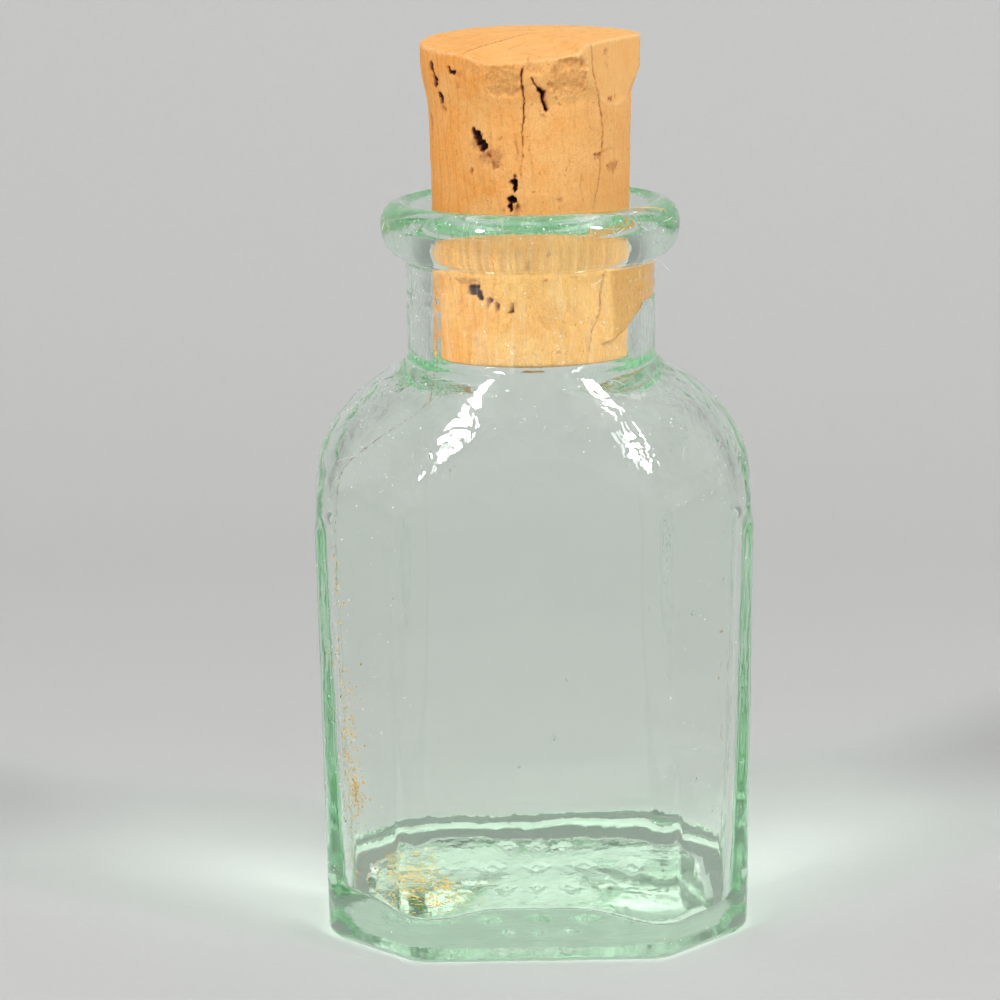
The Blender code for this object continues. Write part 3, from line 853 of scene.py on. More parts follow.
def new_piece(name, points, faces, smooth=True):
    mesh = bpy.data.meshes.new(name)
    mesh.from_pydata([tuple(map(float, point)) for point in points], [], faces)
    mesh.validate()
    mesh.polygons.foreach_set("use_smooth", [smooth] * len(mesh.polygons))
    mesh.update()
    piece = bpy.data.objects.new(name, mesh)
    bpy.context.scene.collection.objects.link(piece)
    return piece


def set_marks(piece, name, values):
    """Keeps one number for each point of the mesh, which its material reads."""
    marks = piece.data.attributes.new(name, "FLOAT", "POINT")
    marks.data.foreach_set("value", np.asarray(values, dtype=np.float32))


def glass_mesh(wave_share):
    angles = glass_angles()
    rings, outer_count = glass_rings(angles, wave_share)
    reaches = np.array([reach for reach, _ in rings])
    heights = np.array([height for _, height in rings])
    points = np.stack((reaches * np.cos(angles), reaches * np.sin(angles), heights), axis=-1).reshape(-1, 3)
    poles = [(0.0, 0.0, float(heights[0].mean())), (0.0, 0.0, float(heights[-1].mean()))]
    points = [tuple(point) for point in points] + poles
    faces = ring_faces(len(rings), len(angles), len(points) - 2, len(points) - 1)
    outside = np.zeros(len(points))
    outside[:outer_count * len(angles)] = 1.0
    outside[-2] = 1.0
    outside = list(outside)
    for centre, radii, flat_share in bubble_places():
        extra, extra_faces = bubble_shell(centre, radii, flat_share)
        start = len(points)
        points += extra
        faces += [tuple(start + corner for corner in face) for face in extra_faces]
        outside += [0.0] * len(extra)
    piece = new_piece("glass", points, faces)
    set_marks(piece, "outside_share", outside)
    return piece


# Surface points for what lies on the glass


def outer_point(angle, height):
    reach = float(outer_reach(angle, height))
    return Vector((reach * math.cos(angle), reach * math.sin(angle), height))


def inner_point(angle, height):
    reach = float(inner_reach(angle, height))
    return Vector((reach * math.cos(angle), reach * math.sin(angle), height))


def normal_at(place, angle, height):
    """The direction square to a surface that place(angle, height) gives."""
    small_turn, small_rise = math.radians(0.4), BOX_MARGIN
    along = place(angle + small_turn, height) - place(angle - small_turn, height)
    up = place(angle, height + small_rise) - place(angle, height - small_rise)
    return along.cross(up).normalized()


def lying_matrix(point, normal, turn):
    """A frame at point with Z along normal, turned about it."""
    facing = normal.to_track_quat("Z", "Y").to_matrix().to_4x4()
    return Matrix.Translation(point) @ facing @ Matrix.Rotation(turn, 4, "Z")


class FlakePile:
    """Small closed flakes gathered into one mesh."""

    CORNERS = ((1, 0, 0), (0, 1, 0), (-1, 0, 0), (0, -1, 0), (0, 0, 1), (0, 0, -1))
    FACES = ((0, 1, 4), (1, 2, 4), (2, 3, 4), (3, 0, 4), (1, 0, 5), (2, 1, 5), (3, 2, 5), (0, 3, 5))

    def __init__(self, seed):
        self.source = random.Random(seed)
        self.points = []
        self.faces = []

    def add(self, matrix, half_length, half_width, half_height):
        start = len(self.points)
        for x, y, z in self.CORNERS:
            jitter = self.source.uniform(0.65, 1.0)
            corner = Vector((x * half_length * jitter, y * half_width * jitter, z * half_height))
            self.points.append(matrix @ corner)
        self.faces += [tuple(start + corner for corner in face) for face in self.FACES]

    def piece(self, name):
        return new_piece(name, self.points, self.faces, smooth=False)


def inside_box(point):
    low, high = CAD_BOX
    return all(low[axis] + BOX_MARGIN * 2 < point[axis] < high[axis] - BOX_MARGIN * 2 for axis in range(3))


def dust_density(turn, height):
    """More dust where the glass faces up, and most on the left of the shoulder."""
    (shoulder_turn, shoulder_spread), (body_turn, body_spread) = DUST_DEGREES
    degrees = math.degrees(turn)
    shoulder = bell((height - SHOULDER_MIDDLE) / DUST_SPREAD)
    left = 0.35 + 0.65 * bell((degrees - shoulder_turn) / shoulder_spread)
    lip = 0.75 if height > LIP_WIDEST else 0.12
    neck = 0.25 if height > NECK_FOOT else 0.0
    body = 0.10 + 0.30 * bell((degrees - body_turn) / body_spread)
    return min(max(shoulder * left, lip if height > NECK_TOP else neck, body), 1.0)


def add_dust(pile, count):
    made = 0
    while made < count:
        turn = pile.source.uniform(-math.pi, math.pi)
        height = pile.source.uniform(HEEL_RADIUS, LIP_TOP * 0.998)
        if pile.source.random() > dust_density(turn, height):
            continue
        angle = turn - math.pi / 2
        normal = normal_at(outer_point, angle, height)
        size = DUST_SIZES[0] + (DUST_SIZES[1] - DUST_SIZES[0]) * pile.source.random() ** 3
        point = outer_point(angle, height)
        made += 1
        if not inside_box(point + normal * size):
            continue
        matrix = lying_matrix(point, normal, pile.source.uniform(0.0, math.tau))
        stretch = pile.source.uniform(0.6, 1.6)
        pile.add(matrix, size * stretch, size, size * FLAKE_FLATNESS)


def add_scratches(pile, count):
    for _ in range(count):
        turn = pile.source.gauss(SCRATCH_TURN, SCRATCH_TURN_SPREAD)
        height = pile.source.uniform(HEEL_RADIUS * 4, NECK_FOOT)
        angle = turn - math.pi / 2
        normal = normal_at(outer_point, angle, height)
        length = pile.source.uniform(*SCRATCH_LENGTHS)
        point = outer_point(angle, height)
        if inside_box(point + normal * SCRATCH_WIDTH):
            matrix = lying_matrix(point, normal, pile.source.uniform(0.0, math.tau))
            pile.add(matrix, length / 2, SCRATCH_WIDTH, SCRATCH_WIDTH * FLAKE_FLATNESS)


def add_seam_dirt(pile):
    """Dirt that has stayed along the mould seams."""
    for side in (0.0, math.pi):
        height = FLOOR_THICKNESS + FLOOR_FILLET_BACK
        while height < NECK_TOP:
            angle = float(seam_angle(height)) + side
            here = outer_point(angle, height)
            next_angle = float(seam_angle(height + SEAM_DIRT_STEP)) + side
            slope = outer_point(next_angle, height + SEAM_DIRT_STEP) - here
            height += SEAM_DIRT_STEP * SEAM_DIRT_STEP / max(slope.length, SEAM_DIRT_STEP)
            patchy = noise.noise(Vector((height / NECK_LENGTH * 3, side, 4.0)))
            shoulder = bell((height - SEAM_LEVELS[-1] + NECK_FOOT_BLEND) / NECK_LENGTH)
            if pile.source.random() > 0.25 + 0.65 * shoulder + patchy:
                continue
            normal = normal_at(outer_point, angle, height)
            drift = Vector([pile.source.gauss(0.0, SEAM_DIRT_SIZE / 3) for _ in range(3)])
            size = SEAM_DIRT_SIZE * pile.source.uniform(0.4, 1.1)
            if inside_box(here + normal * size + drift):
                turn = slope.to_track_quat("X", "Z").to_matrix().to_4x4()
                matrix = Matrix.Translation(here + drift) @ turn
                pile.add(matrix, size * 1.5, size / 2, size * FLAKE_FLATNESS)


def crumb_size(pile):
    """Most crumbs are small."""
    return CRUMB_SIZES[0] + (CRUMB_SIZES[1] - CRUMB_SIZES[0]) * pile.source.random() ** 2


def lay_crumb(pile, size, point, normal):
    matrix = lying_matrix(point, normal, pile.source.uniform(0.0, math.tau))
    pile.add(matrix, size * pile.source.uniform(0.7, 1.8), size, size * FLAKE_FLATNESS)


def add_crumbs(pile):
    """Dried residue on the inside, low on the left."""
    for turn_share, height, turn_spread, height_spread, count in RESIDUE_CLUSTERS:
        for _ in range(count):
            angle = pile.source.gauss(turn_share, turn_spread) * math.tau - math.pi / 2
            at = max(pile.source.gauss(height, height_spread), FLOOR_THICKNESS + FLOOR_FILLET_BACK)
            normal = -normal_at(inner_point, angle, at)
            size = crumb_size(pile)
            lay_crumb(pile, size, inner_point(angle, at) + normal * size * CRUMB_LIFT_SHARE, normal)
    for middle_x, middle_y, spread_x, spread_y, count in FLOOR_RESIDUE:
        for _ in range(count):
            x = pile.source.gauss(middle_x, spread_x)
            y = pile.source.gauss(middle_y, spread_y)
            angle = math.atan2(y, x)
            edge = float(inner_panel_reach(angle, FLOOR_THICKNESS, FLOOR_FILLET_FRONT))
            share = min(math.hypot(x, y) / edge, 0.98)
            at = float(floor_height(angle, share))
            size = crumb_size(pile)
            lift = size * CRUMB_LIFT_SHARE
            spot = Vector((edge * share * math.cos(angle), edge * share * math.sin(angle), at + lift))
            lay_crumb(pile, size, spot, Vector((0.0, 0.0, 1.0)))


def fibre_path(source):
    """The direction in which a curling fibre leaves the glass, and the points along it."""
    turn = source.choice((-1, 1)) * source.uniform(*FIBRE_TURNS)
    height = source.choice((LIP_TOP, LIP_TOP, NECK_TOP, NECK_FOOT, SHOULDER_MIDDLE))
    height = height * source.uniform(0.975, 0.998)
    angle = turn - math.pi / 2
    normal = normal_at(outer_point, angle, height)
    side = Vector((-math.sin(angle), math.cos(angle), 0.0)) * source.choice((-1, 1))
    climb = Vector((0.0, 0.0, source.uniform(-0.4, 0.6)))
    direction = (side + climb + normal * source.uniform(0.05, 0.5)).normalized()
    curl = (normal * source.uniform(-0.5, 0.8) + side.cross(normal) * source.uniform(-0.9, 0.9)) * 1.2
    length = source.uniform(*FIBRE_LENGTHS)
    start = outer_point(angle, height)
    path = []
    for step in range(FIBRE_STEPS):
        share = step / (FIBRE_STEPS - 1)
        path.append(start + direction * length * share + curl * length * share * share)
    return direction, path


def fibre_mesh():
    """Lint that clings to the lip, neck and shoulder."""
    source = random.Random(77)
    points, faces = [], []
    for _ in range(FIBRE_COUNT):
        direction, path = fibre_path(source)
        if not all(inside_box(spot) for spot in path[1:]) or any(spot.z > LIP_TOP * 1.02 for spot in path):
            continue
        around = direction.orthogonal().normalized()
        other = direction.cross(around).normalized()
        first = len(points)
        for spot in path:
            for corner in range(FIBRE_SIDES):
                bend = math.tau * corner / FIBRE_SIDES
                offset = around * math.cos(bend) + other * math.sin(bend)
                points.append(spot + offset * FIBRE_RADIUS)
        for step in range(FIBRE_STEPS - 1):
            low = first + step * FIBRE_SIDES
            high = low + FIBRE_SIDES
            for corner in range(FIBRE_SIDES):
                after = (corner + 1) % FIBRE_SIDES
                faces.append((low + corner, low + after, high + after, high + corner))
        last = first + (FIBRE_STEPS - 1) * FIBRE_SIDES
        faces.append(tuple(reversed(range(first, first + FIBRE_SIDES))))
        faces.append(tuple(range(last, last + FIBRE_SIDES)))
    return new_piece("lint_fibres", points, faces)


# Cork


def cork_turns():
    """Turns of the cork's columns, closer together at the front."""
    fine = np.linspace(-math.pi, math.pi, FINE_COUNT)
    density = 1 + FRONT_CROWDING * eased((FRONT_CROWD_TURN - np.abs(fine)) / FRONT_CROWD_FADE)
    return crowded(fine, density, CORK_COLUMNS)


def side_of_line(x, y, start, end):
    """How far a point lies to the right of the line from start to end."""
    along_x, along_y = end[0] - start[0], end[1] - start[1]
    return ((x - start[0]) * along_y - (y - start[1]) * along_x) / math.hypot(along_x, along_y)


def top_height(x, y):
    """The cork's top: a slanted cut with a flake broken off its front."""
    slope = TOP_SLOPE_LEFT + (TOP_SLOPE_RIGHT - TOP_SLOPE_LEFT) * eased(x / HEAD_RADIUS / 2 + 0.5)
    slanted = CORK_TOP - BOX_MARGIN - np.maximum(HEAD_RADIUS - y, 0.0) * slope
    past_crease = side_of_line(x, y, CREASE_FRONT, CREASE_BACK) * CREASE_SLOPE
    forward = (BROKEN_START - y) * BROKEN_SLOPE
    before_rise = -side_of_line(x, y, RISE_FRONT, RISE_BACK) * RISE_SLOPE
    drop = smooth_min(smooth_min(past_crease, forward, TOP_BLEND), before_rise, TOP_BLEND)
    return slanted - np.maximum(drop, 0.0)


def top_height_at(turn, reach):
    return top_height(reach * np.sin(turn), -reach * np.cos(turn))


def facet_reach(turn, height):
    """How far the flat cut on the right of the head lies from the axis; it runs out steeply at its foot."""
    facing = np.cos(turn - FACET_TURN) * math.cos(FACET_LEAN)
    distance = FACET_REACH - math.sin(FACET_LEAN) * (height - CORK_TOP)
    distance = distance + np.maximum(FACET_FOOT - height, 0.0) * FACET_FOOT_SLOPE
    return distance / np.maximum(facing, LEAST_COSINE)


def tapered_reach(height):
    return CORK_RADIUS + (height - THROAT) * CORK_TAPER


def cork_side_reach(turn, height):
    """The cork's side before its damage: a taper, a head that has swelled and a flat facet."""
    rightness = eased((np.sin(turn) + 0.6) / 1.2)
    foot = LEFT_FLARE_FOOT + (RIGHT_FLARE_FOOT - LEFT_FLARE_FOOT) * rightness
    top = LEFT_FLARE_TOP + (RIGHT_FLARE_TOP - LEFT_FLARE_TOP) * rightness
    flare = LEFT_FLARE + (RIGHT_FLARE - LEFT_FLARE) * rightness
    reach = tapered_reach(height) + flare * eased((height - foot) / (top - foot))
    return smooth_min(reach, facet_reach(turn, height), FACET_BLEND)


def facet_share(turn, height):
    """1 on the flat facet and 0 away from it."""
    flare = RIGHT_FLARE * eased((height - RIGHT_FLARE_FOOT) / (RIGHT_FLARE_TOP - RIGHT_FLARE_FOOT))
    return eased((tapered_reach(height) + flare - facet_reach(turn, height)) / FACET_BLEND + 0.5)


def swell_share(turn, height):
    """1 where the cork has swelled against the glass, on the right of the neck."""
    edge = np.abs(turn - SWELL_TURN) / SWELL_WIDTH
    share = eased((turn - SWELL_TURN + SWELL_WIDTH) / SWELL_WIDTH)
    wobble = slow_waves(turn, height, SWELL_WOBBLE, 51, SWELL_WAVE_RANGE)
    rise = (height - SWELL_FOOT - SWELL_CLIMB * share - wobble) / SWELL_WOBBLE
    below_lip = (NECK_TOP + SWELL_WOBBLE - height) / SWELL_WOBBLE / 2
    return eased((1 - edge) * 4) * eased(rise) * eased(below_lip)


def turn_gap(turn, at_share):
    """How far a turn is from another one, the short way round."""
    return (turn - at_share * math.tau + math.pi) % math.tau - math.pi


def patch_field(arc, rise, half_width, half_height, power=2):
    """1 in the middle of a patch, 0 on its edge and below 0 outside it."""
    return 1 - (np.abs(arc / half_width) ** power + np.abs(rise / half_height) ** power)


def crack_field(turn, height, line, half_width):
    """1 on a crack's line, 0 on its edge and below 0 outside it."""
    field = np.full(len(turn), -9.0)
    for (turn_a, high_a), (turn_b, high_b) in zip(line, line[1:]):
        start = np.array(((turn_a - turn_b) * math.tau * CORK_RADIUS, (high_a - high_b) * CORK_LENGTH))
        across = turn_gap(turn, turn_b) * CORK_RADIUS
        rise = height - CORK_FOOT - high_b * CORK_LENGTH
        share = np.clip((across * start[0] + rise * start[1]) / (start @ start), 0.0, 1.0)
        away = np.hypot(across - share * start[0], rise - share * start[1])
        field = np.maximum(field, 1 - away / half_width)
    return field


def pore_shares():
    """Small pores scattered over the cork, each written as a pit is."""
    source = random.Random(9)
    pores = []
    for _ in range(PORE_COUNT):
        size = source.uniform(*PORE_SHARES)
        at, high = source.uniform(-0.5, 0.5), source.uniform(0.02, 0.97)
        pores.append((at, high, size * source.uniform(0.6, 1.6), size, size * 0.7))
    return tuple(pores)


class CorkMarks:
    """How far pits, cracks and broken patches go into the cork, and the marks that its material reads."""

    def __init__(self, turn, height, points, pit_depth_share):
        self.turn = turn
        self.height = height
        self.pit_depth_share = pit_depth_share
        self.warp = layered_bumps(points, WARP_LUMPS)
        self.sway = layered_bumps(points, SWAY_LUMPS)
        self.ragged = bumps(points, *RAGGED_LUMPS)
        self.torn = bumps(points, *TORN_LUMPS)
        self.coarse = 0.7 + 0.3 * bumps(points, *COARSE_LUMPS) + 0.2 * self.ragged
        self.depth = np.zeros(len(turn))
        self.hollow = np.full(len(turn), -1.0)
        self.stain_and_shade = np.zeros(len(turn))
        self.chipped_and_shaded = np.zeros(len(turn))
        self.add_patches()
        self.add_pits()
        self.add_cracks()
        self.add_stains_and_shade()

    def offsets(self, at_share, high_share):
        """How far each point lies round the cork and up it from a spot."""
        arc = turn_gap(self.turn, at_share) * CORK_RADIUS
        return arc, self.height - CORK_FOOT - high_share * CORK_LENGTH

    def add_patches(self):
        for at, high, wide, tall, deep, rough in PATCH_SHARES:
            arc, rise = self.offsets(at, high)
            half_width, half_height = wide * CORK_RADIUS, tall * CORK_RADIUS
            field = patch_field(arc + self.warp * 2, rise + self.warp, half_width, half_height, 3)
            inside = eased((field + self.torn * 0.7 + self.ragged * 0.3) * 1.5)
            self.depth = np.maximum(self.depth, deep * CORK_RADIUS * inside * self.coarse)
            self.chipped_and_shaded = np.maximum(self.chipped_and_shaded, inside * rough)

    def add_pits(self):
        for at, high, wide, tall, deep in PIT_SHARES + pore_shares():
            arc, rise = self.offsets(at, high)
            arc, rise = arc + self.warp, rise + self.sway
            half_width, half_height = wide * CORK_RADIUS, tall * CORK_RADIUS
            near = (np.abs(arc) < half_width * 2) & (np.abs(rise) < half_height * 2)
            field = patch_field(arc[near], rise[near], half_width, half_height) + self.ragged[near] * 0.75
            deeper = deep * CORK_RADIUS * eased(field * 0.9) * self.pit_depth_share
            dark = field * min(deep / 0.07, 1.0) - 0.4 * (deep < 0.05)
            self.depth[near] = np.maximum(self.depth[near], deeper)
            self.hollow[near] = np.maximum(self.hollow[near], dark)
            self.stain_and_shade[near] = np.maximum(self.stain_and_shade[near], eased(field + 0.6) * 0.6)

    def add_cracks(self):
        turn = self.turn + self.warp / CORK_RADIUS * CRACK_WANDER_SHARE
        for line, wide, deep, dark in CRACK_SHARES:
            half_width = wide * CORK_RADIUS * CRACK_SPREAD_SHARE
            field = crack_field(turn, self.height, line, half_width) + self.ragged * 0.35
            halo = crack_field(turn, self.height, line, half_width * 2.5) + self.ragged * 0.4
            deeper = deep * CORK_RADIUS * eased(field * 1.2) * self.pit_depth_share
            self.depth = np.maximum(self.depth, deeper)
            self.hollow = np.maximum(self.hollow, np.minimum(field, dark) * 0.5 - 0.2 * (1 - dark))
            self.stain_and_shade = np.maximum(self.stain_and_shade, eased(halo) * 0.45)

    def add_stains_and_shade(self):
        for at, high, wide, tall, strength in STAIN_AND_SHADE_SHARES:
            arc, rise = self.offsets(at, high)
            field = patch_field(arc + self.warp * 2, rise, wide * CORK_RADIUS, tall * CORK_RADIUS)
            self.stain_and_shade = np.maximum(self.stain_and_shade, eased((field + self.ragged * 0.5) * 0.9) * strength)


def crumbled_rim(turns):
    """Heights of the cork's rim, which has crumbled most at the front."""
    reach = cork_side_reach(turns, CORK_TOP - CORK_CROWN_BEVEL * 3)
    rim = top_height_at(turns, reach)
    spots = np.stack((CORK_RADIUS * np.sin(turns), -CORK_RADIUS * np.cos(turns), turns * 0), axis=-1)
    broken = 0.12 + bell((turns - CHATTER_TURN) / CHATTER_WIDTH)
    for length, seed, weight in CHATTER_LUMPS:
        rim = rim - RIM_CHATTER * weight * broken * np.maximum(bumps(spots, length, seed) + 0.1, 0.0)
    return rim


def cork_rings(turns):
    """Rings of the cork before its damage, from the middle of its foot to the middle of its top.

    Each is its reach, its height and whether it is on the foot, the side or the top.
    """
    rings = []
    zero = np.zeros(len(turns))
    foot_reach = cork_side_reach(turns, CORK_FOOT) - CORK_FOOT_BEVEL
    for share in steps(0.0, 1.0, CORK_FOOT_RINGS, first=False):
        rings.append((foot_reach * share, zero + CORK_FOOT, ON_FOOT))
    for share in steps(0.0, 1.0, CORK_BEVEL_RINGS, first=False):
        bend = math.pi / 2 * share
        height = CORK_FOOT + CORK_FOOT_BEVEL * (1 - math.cos(bend))
        rings.append((foot_reach + CORK_FOOT_BEVEL * math.sin(bend), zero + height, ON_SIDE))
    rim = crumbled_rim(turns)
    low = CORK_FOOT + CORK_FOOT_BEVEL
    for share in steps(0.0, 1.0, CORK_SIDE_RINGS, first=False):
        height = low + (rim - CORK_CROWN_BEVEL - low) * share
        rings.append((cork_side_reach(turns, height), height, ON_SIDE))
    rim_reach = rings[-1][0]
    for share in steps(0.0, 1.0, CORK_BEVEL_RINGS, first=False):
        bend = math.pi / 2 * share
        reach = rim_reach - CORK_CROWN_BEVEL * (1 - math.cos(bend))
        rings.append((reach, rim - CORK_CROWN_BEVEL * (1 - math.sin(bend)), ON_SIDE))
    edge_reach = rings[-1][0]
    crumbled = top_height_at(turns, edge_reach) - rim
    for share in steps(1.0, 0.0, CORK_TOP_RINGS, first=False)[:-1]:
        reach = edge_reach * share
        rings.append((reach, top_height_at(turns, reach) - crumbled * eased(share * 5 - 4), ON_TOP))
    return rings


def cork_mesh(pit_depth_share):
    turns = cork_turns()
    rings = cork_rings(turns)
    reach = np.concatenate([ring[0] for ring in rings])
    height = np.concatenate([ring[1] for ring in rings])
    place = np.repeat([ring[2] for ring in rings], len(turns))
    turn = np.tile(turns, len(rings))
    side, top = place == ON_SIDE, place == ON_TOP
    plain = np.stack((reach * np.sin(turn), -reach * np.cos(turn), height), axis=-1)
    marks = CorkMarks(turn, height, plain, pit_depth_share)
    near_rim = eased((reach / CORK_RADIUS - 0.78) * 6)
    depth = np.where(side, marks.depth, marks.depth * near_rim * top)
    hollow = np.where(side | (top & (reach > CORK_RADIUS * 0.97)), marks.hollow, -1.0)
    stain_and_shade = np.where(side, marks.stain_and_shade, marks.stain_and_shade * near_rim * 0.5)
    chipped_and_shaded = np.where(side, marks.chipped_and_shaded, marks.chipped_and_shaded * near_rim * top * 0.6)
    fine = layered_bumps(plain, FINE_LUMPS) + layered_bumps(plain * STREAK_STRETCH, STREAK_LUMPS)
    crumble = layered_bumps(plain, CRUMBLE_LUMPS) * chipped_and_shaded
    grown = reach - depth + (fine + crumble) * side
    swelled = BORE_RADIUS + BORE_FLARE + SWELL_REACH
    share = swell_share(turn, height) * side
    grown = grown * (1 - share) + np.maximum(swelled - CORK_OFFSET * np.sin(turn), grown) * share
    height_now = height + np.minimum(fine, 0.0) * top
    points = np.stack((grown * np.sin(turn) + CORK_OFFSET, -grown * np.cos(turn), height_now), axis=-1)
    points = [tuple(point) for point in points]
    points += [(CORK_OFFSET, 0.0, CORK_FOOT), (CORK_OFFSET, 0.0, float(top_height(0.0, 0.0)))]
    piece = new_piece("cork", points, ring_faces(len(rings), len(turns), len(points) - 2, len(points) - 1))
    facet = facet_share(turn, height) * side
    # Painted highlight: a pale line along the facet's edge and a pale band round the top rim.
    rim_band = bell((height - top_height_at(turn, reach)) / RIM_BAND) * side
    painted_edge_highlight = np.maximum(4 * facet * (1 - facet), rim_band * (height > SWELL_FOOT + CORK_INSERTION))
    for name, values, at_foot, at_top in (
        ("hollow", hollow, -1.0, -1.0),
        ("stain_and_shade", stain_and_shade, 0.0, 0.0),
        ("chipped_and_shaded", chipped_and_shaded, 0.0, 0.0),
        ("clean", np.maximum(facet, top), 0.0, 1.0),
        ("top", top, 0.0, 1.0),
        ("painted_edge_highlight", painted_edge_highlight, 0.0, 0.0),
    ):
        set_marks(piece, name, np.concatenate((values, (at_foot, at_top))))
    return piece


# Materials


def set_sockets(tree, node, sockets):
    """Sets a node's inputs, each found by name or number, or links them to other nodes."""
    for name, value in sockets.items():
        if isinstance(value, bpy.types.NodeSocket):
            tree.links.new(value, node.inputs[name])
        else:
            node.inputs[name].default_value = value


def add_node(tree, kind, sockets=None, **settings):
    node = tree.nodes.new(kind)
    for name, value in settings.items():
        setattr(node, name, value)
    set_sockets(tree, node, sockets or {})
    return node


def new_material(name):
    material = bpy.data.materials.new(name)
    material.use_nodes = True
    tree = material.node_tree
    return material, tree, tree.nodes["Principled BSDF"]


def millimetres(tree, stretch=(1.0, 1.0, 1.0)):
    """Object coordinates in millimetres, stretched for a grain."""
    coordinates = add_node(tree, "ShaderNodeTexCoord")
    scale = tuple(MILLIMETRES * value for value in stretch)
    mapping = add_node(tree, "ShaderNodeMapping", {"Vector": coordinates.outputs["Object"], "Scale": scale})
    return mapping.outputs["Vector"]


def axes_of(tree, vector):
    """The X, Y and Z outputs of a vector."""
    return add_node(tree, "ShaderNodeSeparateXYZ", {"Vector": vector}).outputs


def noise_of(tree, vector, scale, detail=3.0, roughness=0.55, distortion=0.0):
    sockets = {
        "Vector": vector,
        "Scale": scale,
        "Detail": detail,
        "Roughness": roughness,
        "Distortion": distortion,
    }
    return add_node(tree, "ShaderNodeTexNoise", sockets).outputs["Fac"]


def ramped(tree, value, low, high, out_low=0.0, out_high=1.0):
    """Value between low and high, spread out between out_low and out_high."""
    sockets = {
        "Value": value,
        "From Min": low,
        "From Max": high,
        "To Min": out_low,
        "To Max": out_high,
    }
    return add_node(tree, "ShaderNodeMapRange", sockets, clamp=True).outputs["Result"]


def maths(tree, operation, first, second=0.0):
    return add_node(tree, "ShaderNodeMath", {0: first, 1: second}, operation=operation).outputs["Value"]


def times(tree, first, *others):
    """The product of sockets and numbers."""
    for value in others:
        first = maths(tree, "MULTIPLY", first, value)
    return first


def plus(tree, first, *others):
    """The sum of sockets and numbers."""
    for value in others:
        first = maths(tree, "ADD", first, value)
    return first


def mixed(tree, factor, first, second):
    sockets = {0: factor, 6: first, 7: second}
    return add_node(tree, "ShaderNodeMix", sockets, data_type="RGBA").outputs[2]


def washed(tree, colour, washes):
    """Tones laid over a colour in turn, each where a texture passes from low to high."""
    for texture, low, high, at_low, at_high, tone in washes:
        colour = mixed(tree, ramped(tree, texture, low, high, at_low, at_high), colour, tone)
    return colour


def attribute(tree, name):
    return add_node(tree, "ShaderNodeAttribute", attribute_name=name).outputs["Fac"]


def bumped(tree, height, strength, distance):
    sockets = {"Height": height, "Strength": strength, "Distance": distance}
    return add_node(tree, "ShaderNodeBump", sockets).outputs["Normal"]


def glass_film(tree, vector, outside, in_neck):
    """How thick dust lies on the outside, and what the cork has smeared on the inside of the neck."""
    normal = add_node(tree, "ShaderNodeNewGeometry").outputs["Normal"]
    facing_up = ramped(tree, axes_of(tree, normal)["Z"], 0.05, 0.75)
    cloudy = ramped(tree, noise_of(tree, vector, 0.16, 5.0, 0.62, 0.6), 0.42, 0.72)
    specks = ramped(tree, noise_of(tree, vector, 2.6, 2.0), 0.60, 0.74)
    lying = plus(tree, times(tree, facing_up, 0.85), 0.10)
    film = times(tree, lying, outside, cloudy, plus(tree, times(tree, specks, 0.7), 0.5))
    streaky = noise_of(tree, millimetres(tree, (1.0, 1.0, 0.09)), 1.5, 4.0, 0.6)
    inside = maths(tree, "SUBTRACT", 1.0, outside)
    smears = times(tree, ramped(tree, streaky, 0.50, 0.74), in_neck, inside, 0.45)
    return plus(tree, film, smears)


def glass_relief(tree, vector, outside, in_neck, up):
    """Unevenness that the mesh leaves out: a soft skin, lumps on the shoulder and draw marks at the foot."""
    fine = noise_of(tree, millimetres(tree, (1.0, 1.0, 0.45)), 0.42, 2.0)
    skin = noise_of(tree, vector, 1.3, 1.0)
    lumpy = noise_of(tree, millimetres(tree, (1.0, 1.0, 0.8)), 0.24, 2.0, 0.45, 0.9)
    drawn = noise_of(tree, millimetres(tree, (0.10, 0.10, 1.0)), 1.1, 4.0, 0.7)
    low, high = SHOULDER_START + ARCH_BLEND, SHOULDER_START + 5 * ARCH_BLEND
    on_shoulder = ramped(tree, up, low * MILLIMETRES, high * MILLIMETRES)
    on_shoulder = times(tree, maths(tree, "SUBTRACT", on_shoulder, in_neck), outside)
    low, high = FLOOR_THICKNESS - DRAWN_BELOW_FLOOR, FLOOR_THICKNESS + DRAWN_ABOVE_FLOOR
    at_foot = ramped(tree, up, low * MILLIMETRES, high * MILLIMETRES, 1.0, 0.0)
    return plus(
        tree,
        fine,
        times(tree, skin, 0.12),
        times(tree, lumpy, on_shoulder, 8.0),
        times(tree, drawn, at_foot, 1.1),
    )


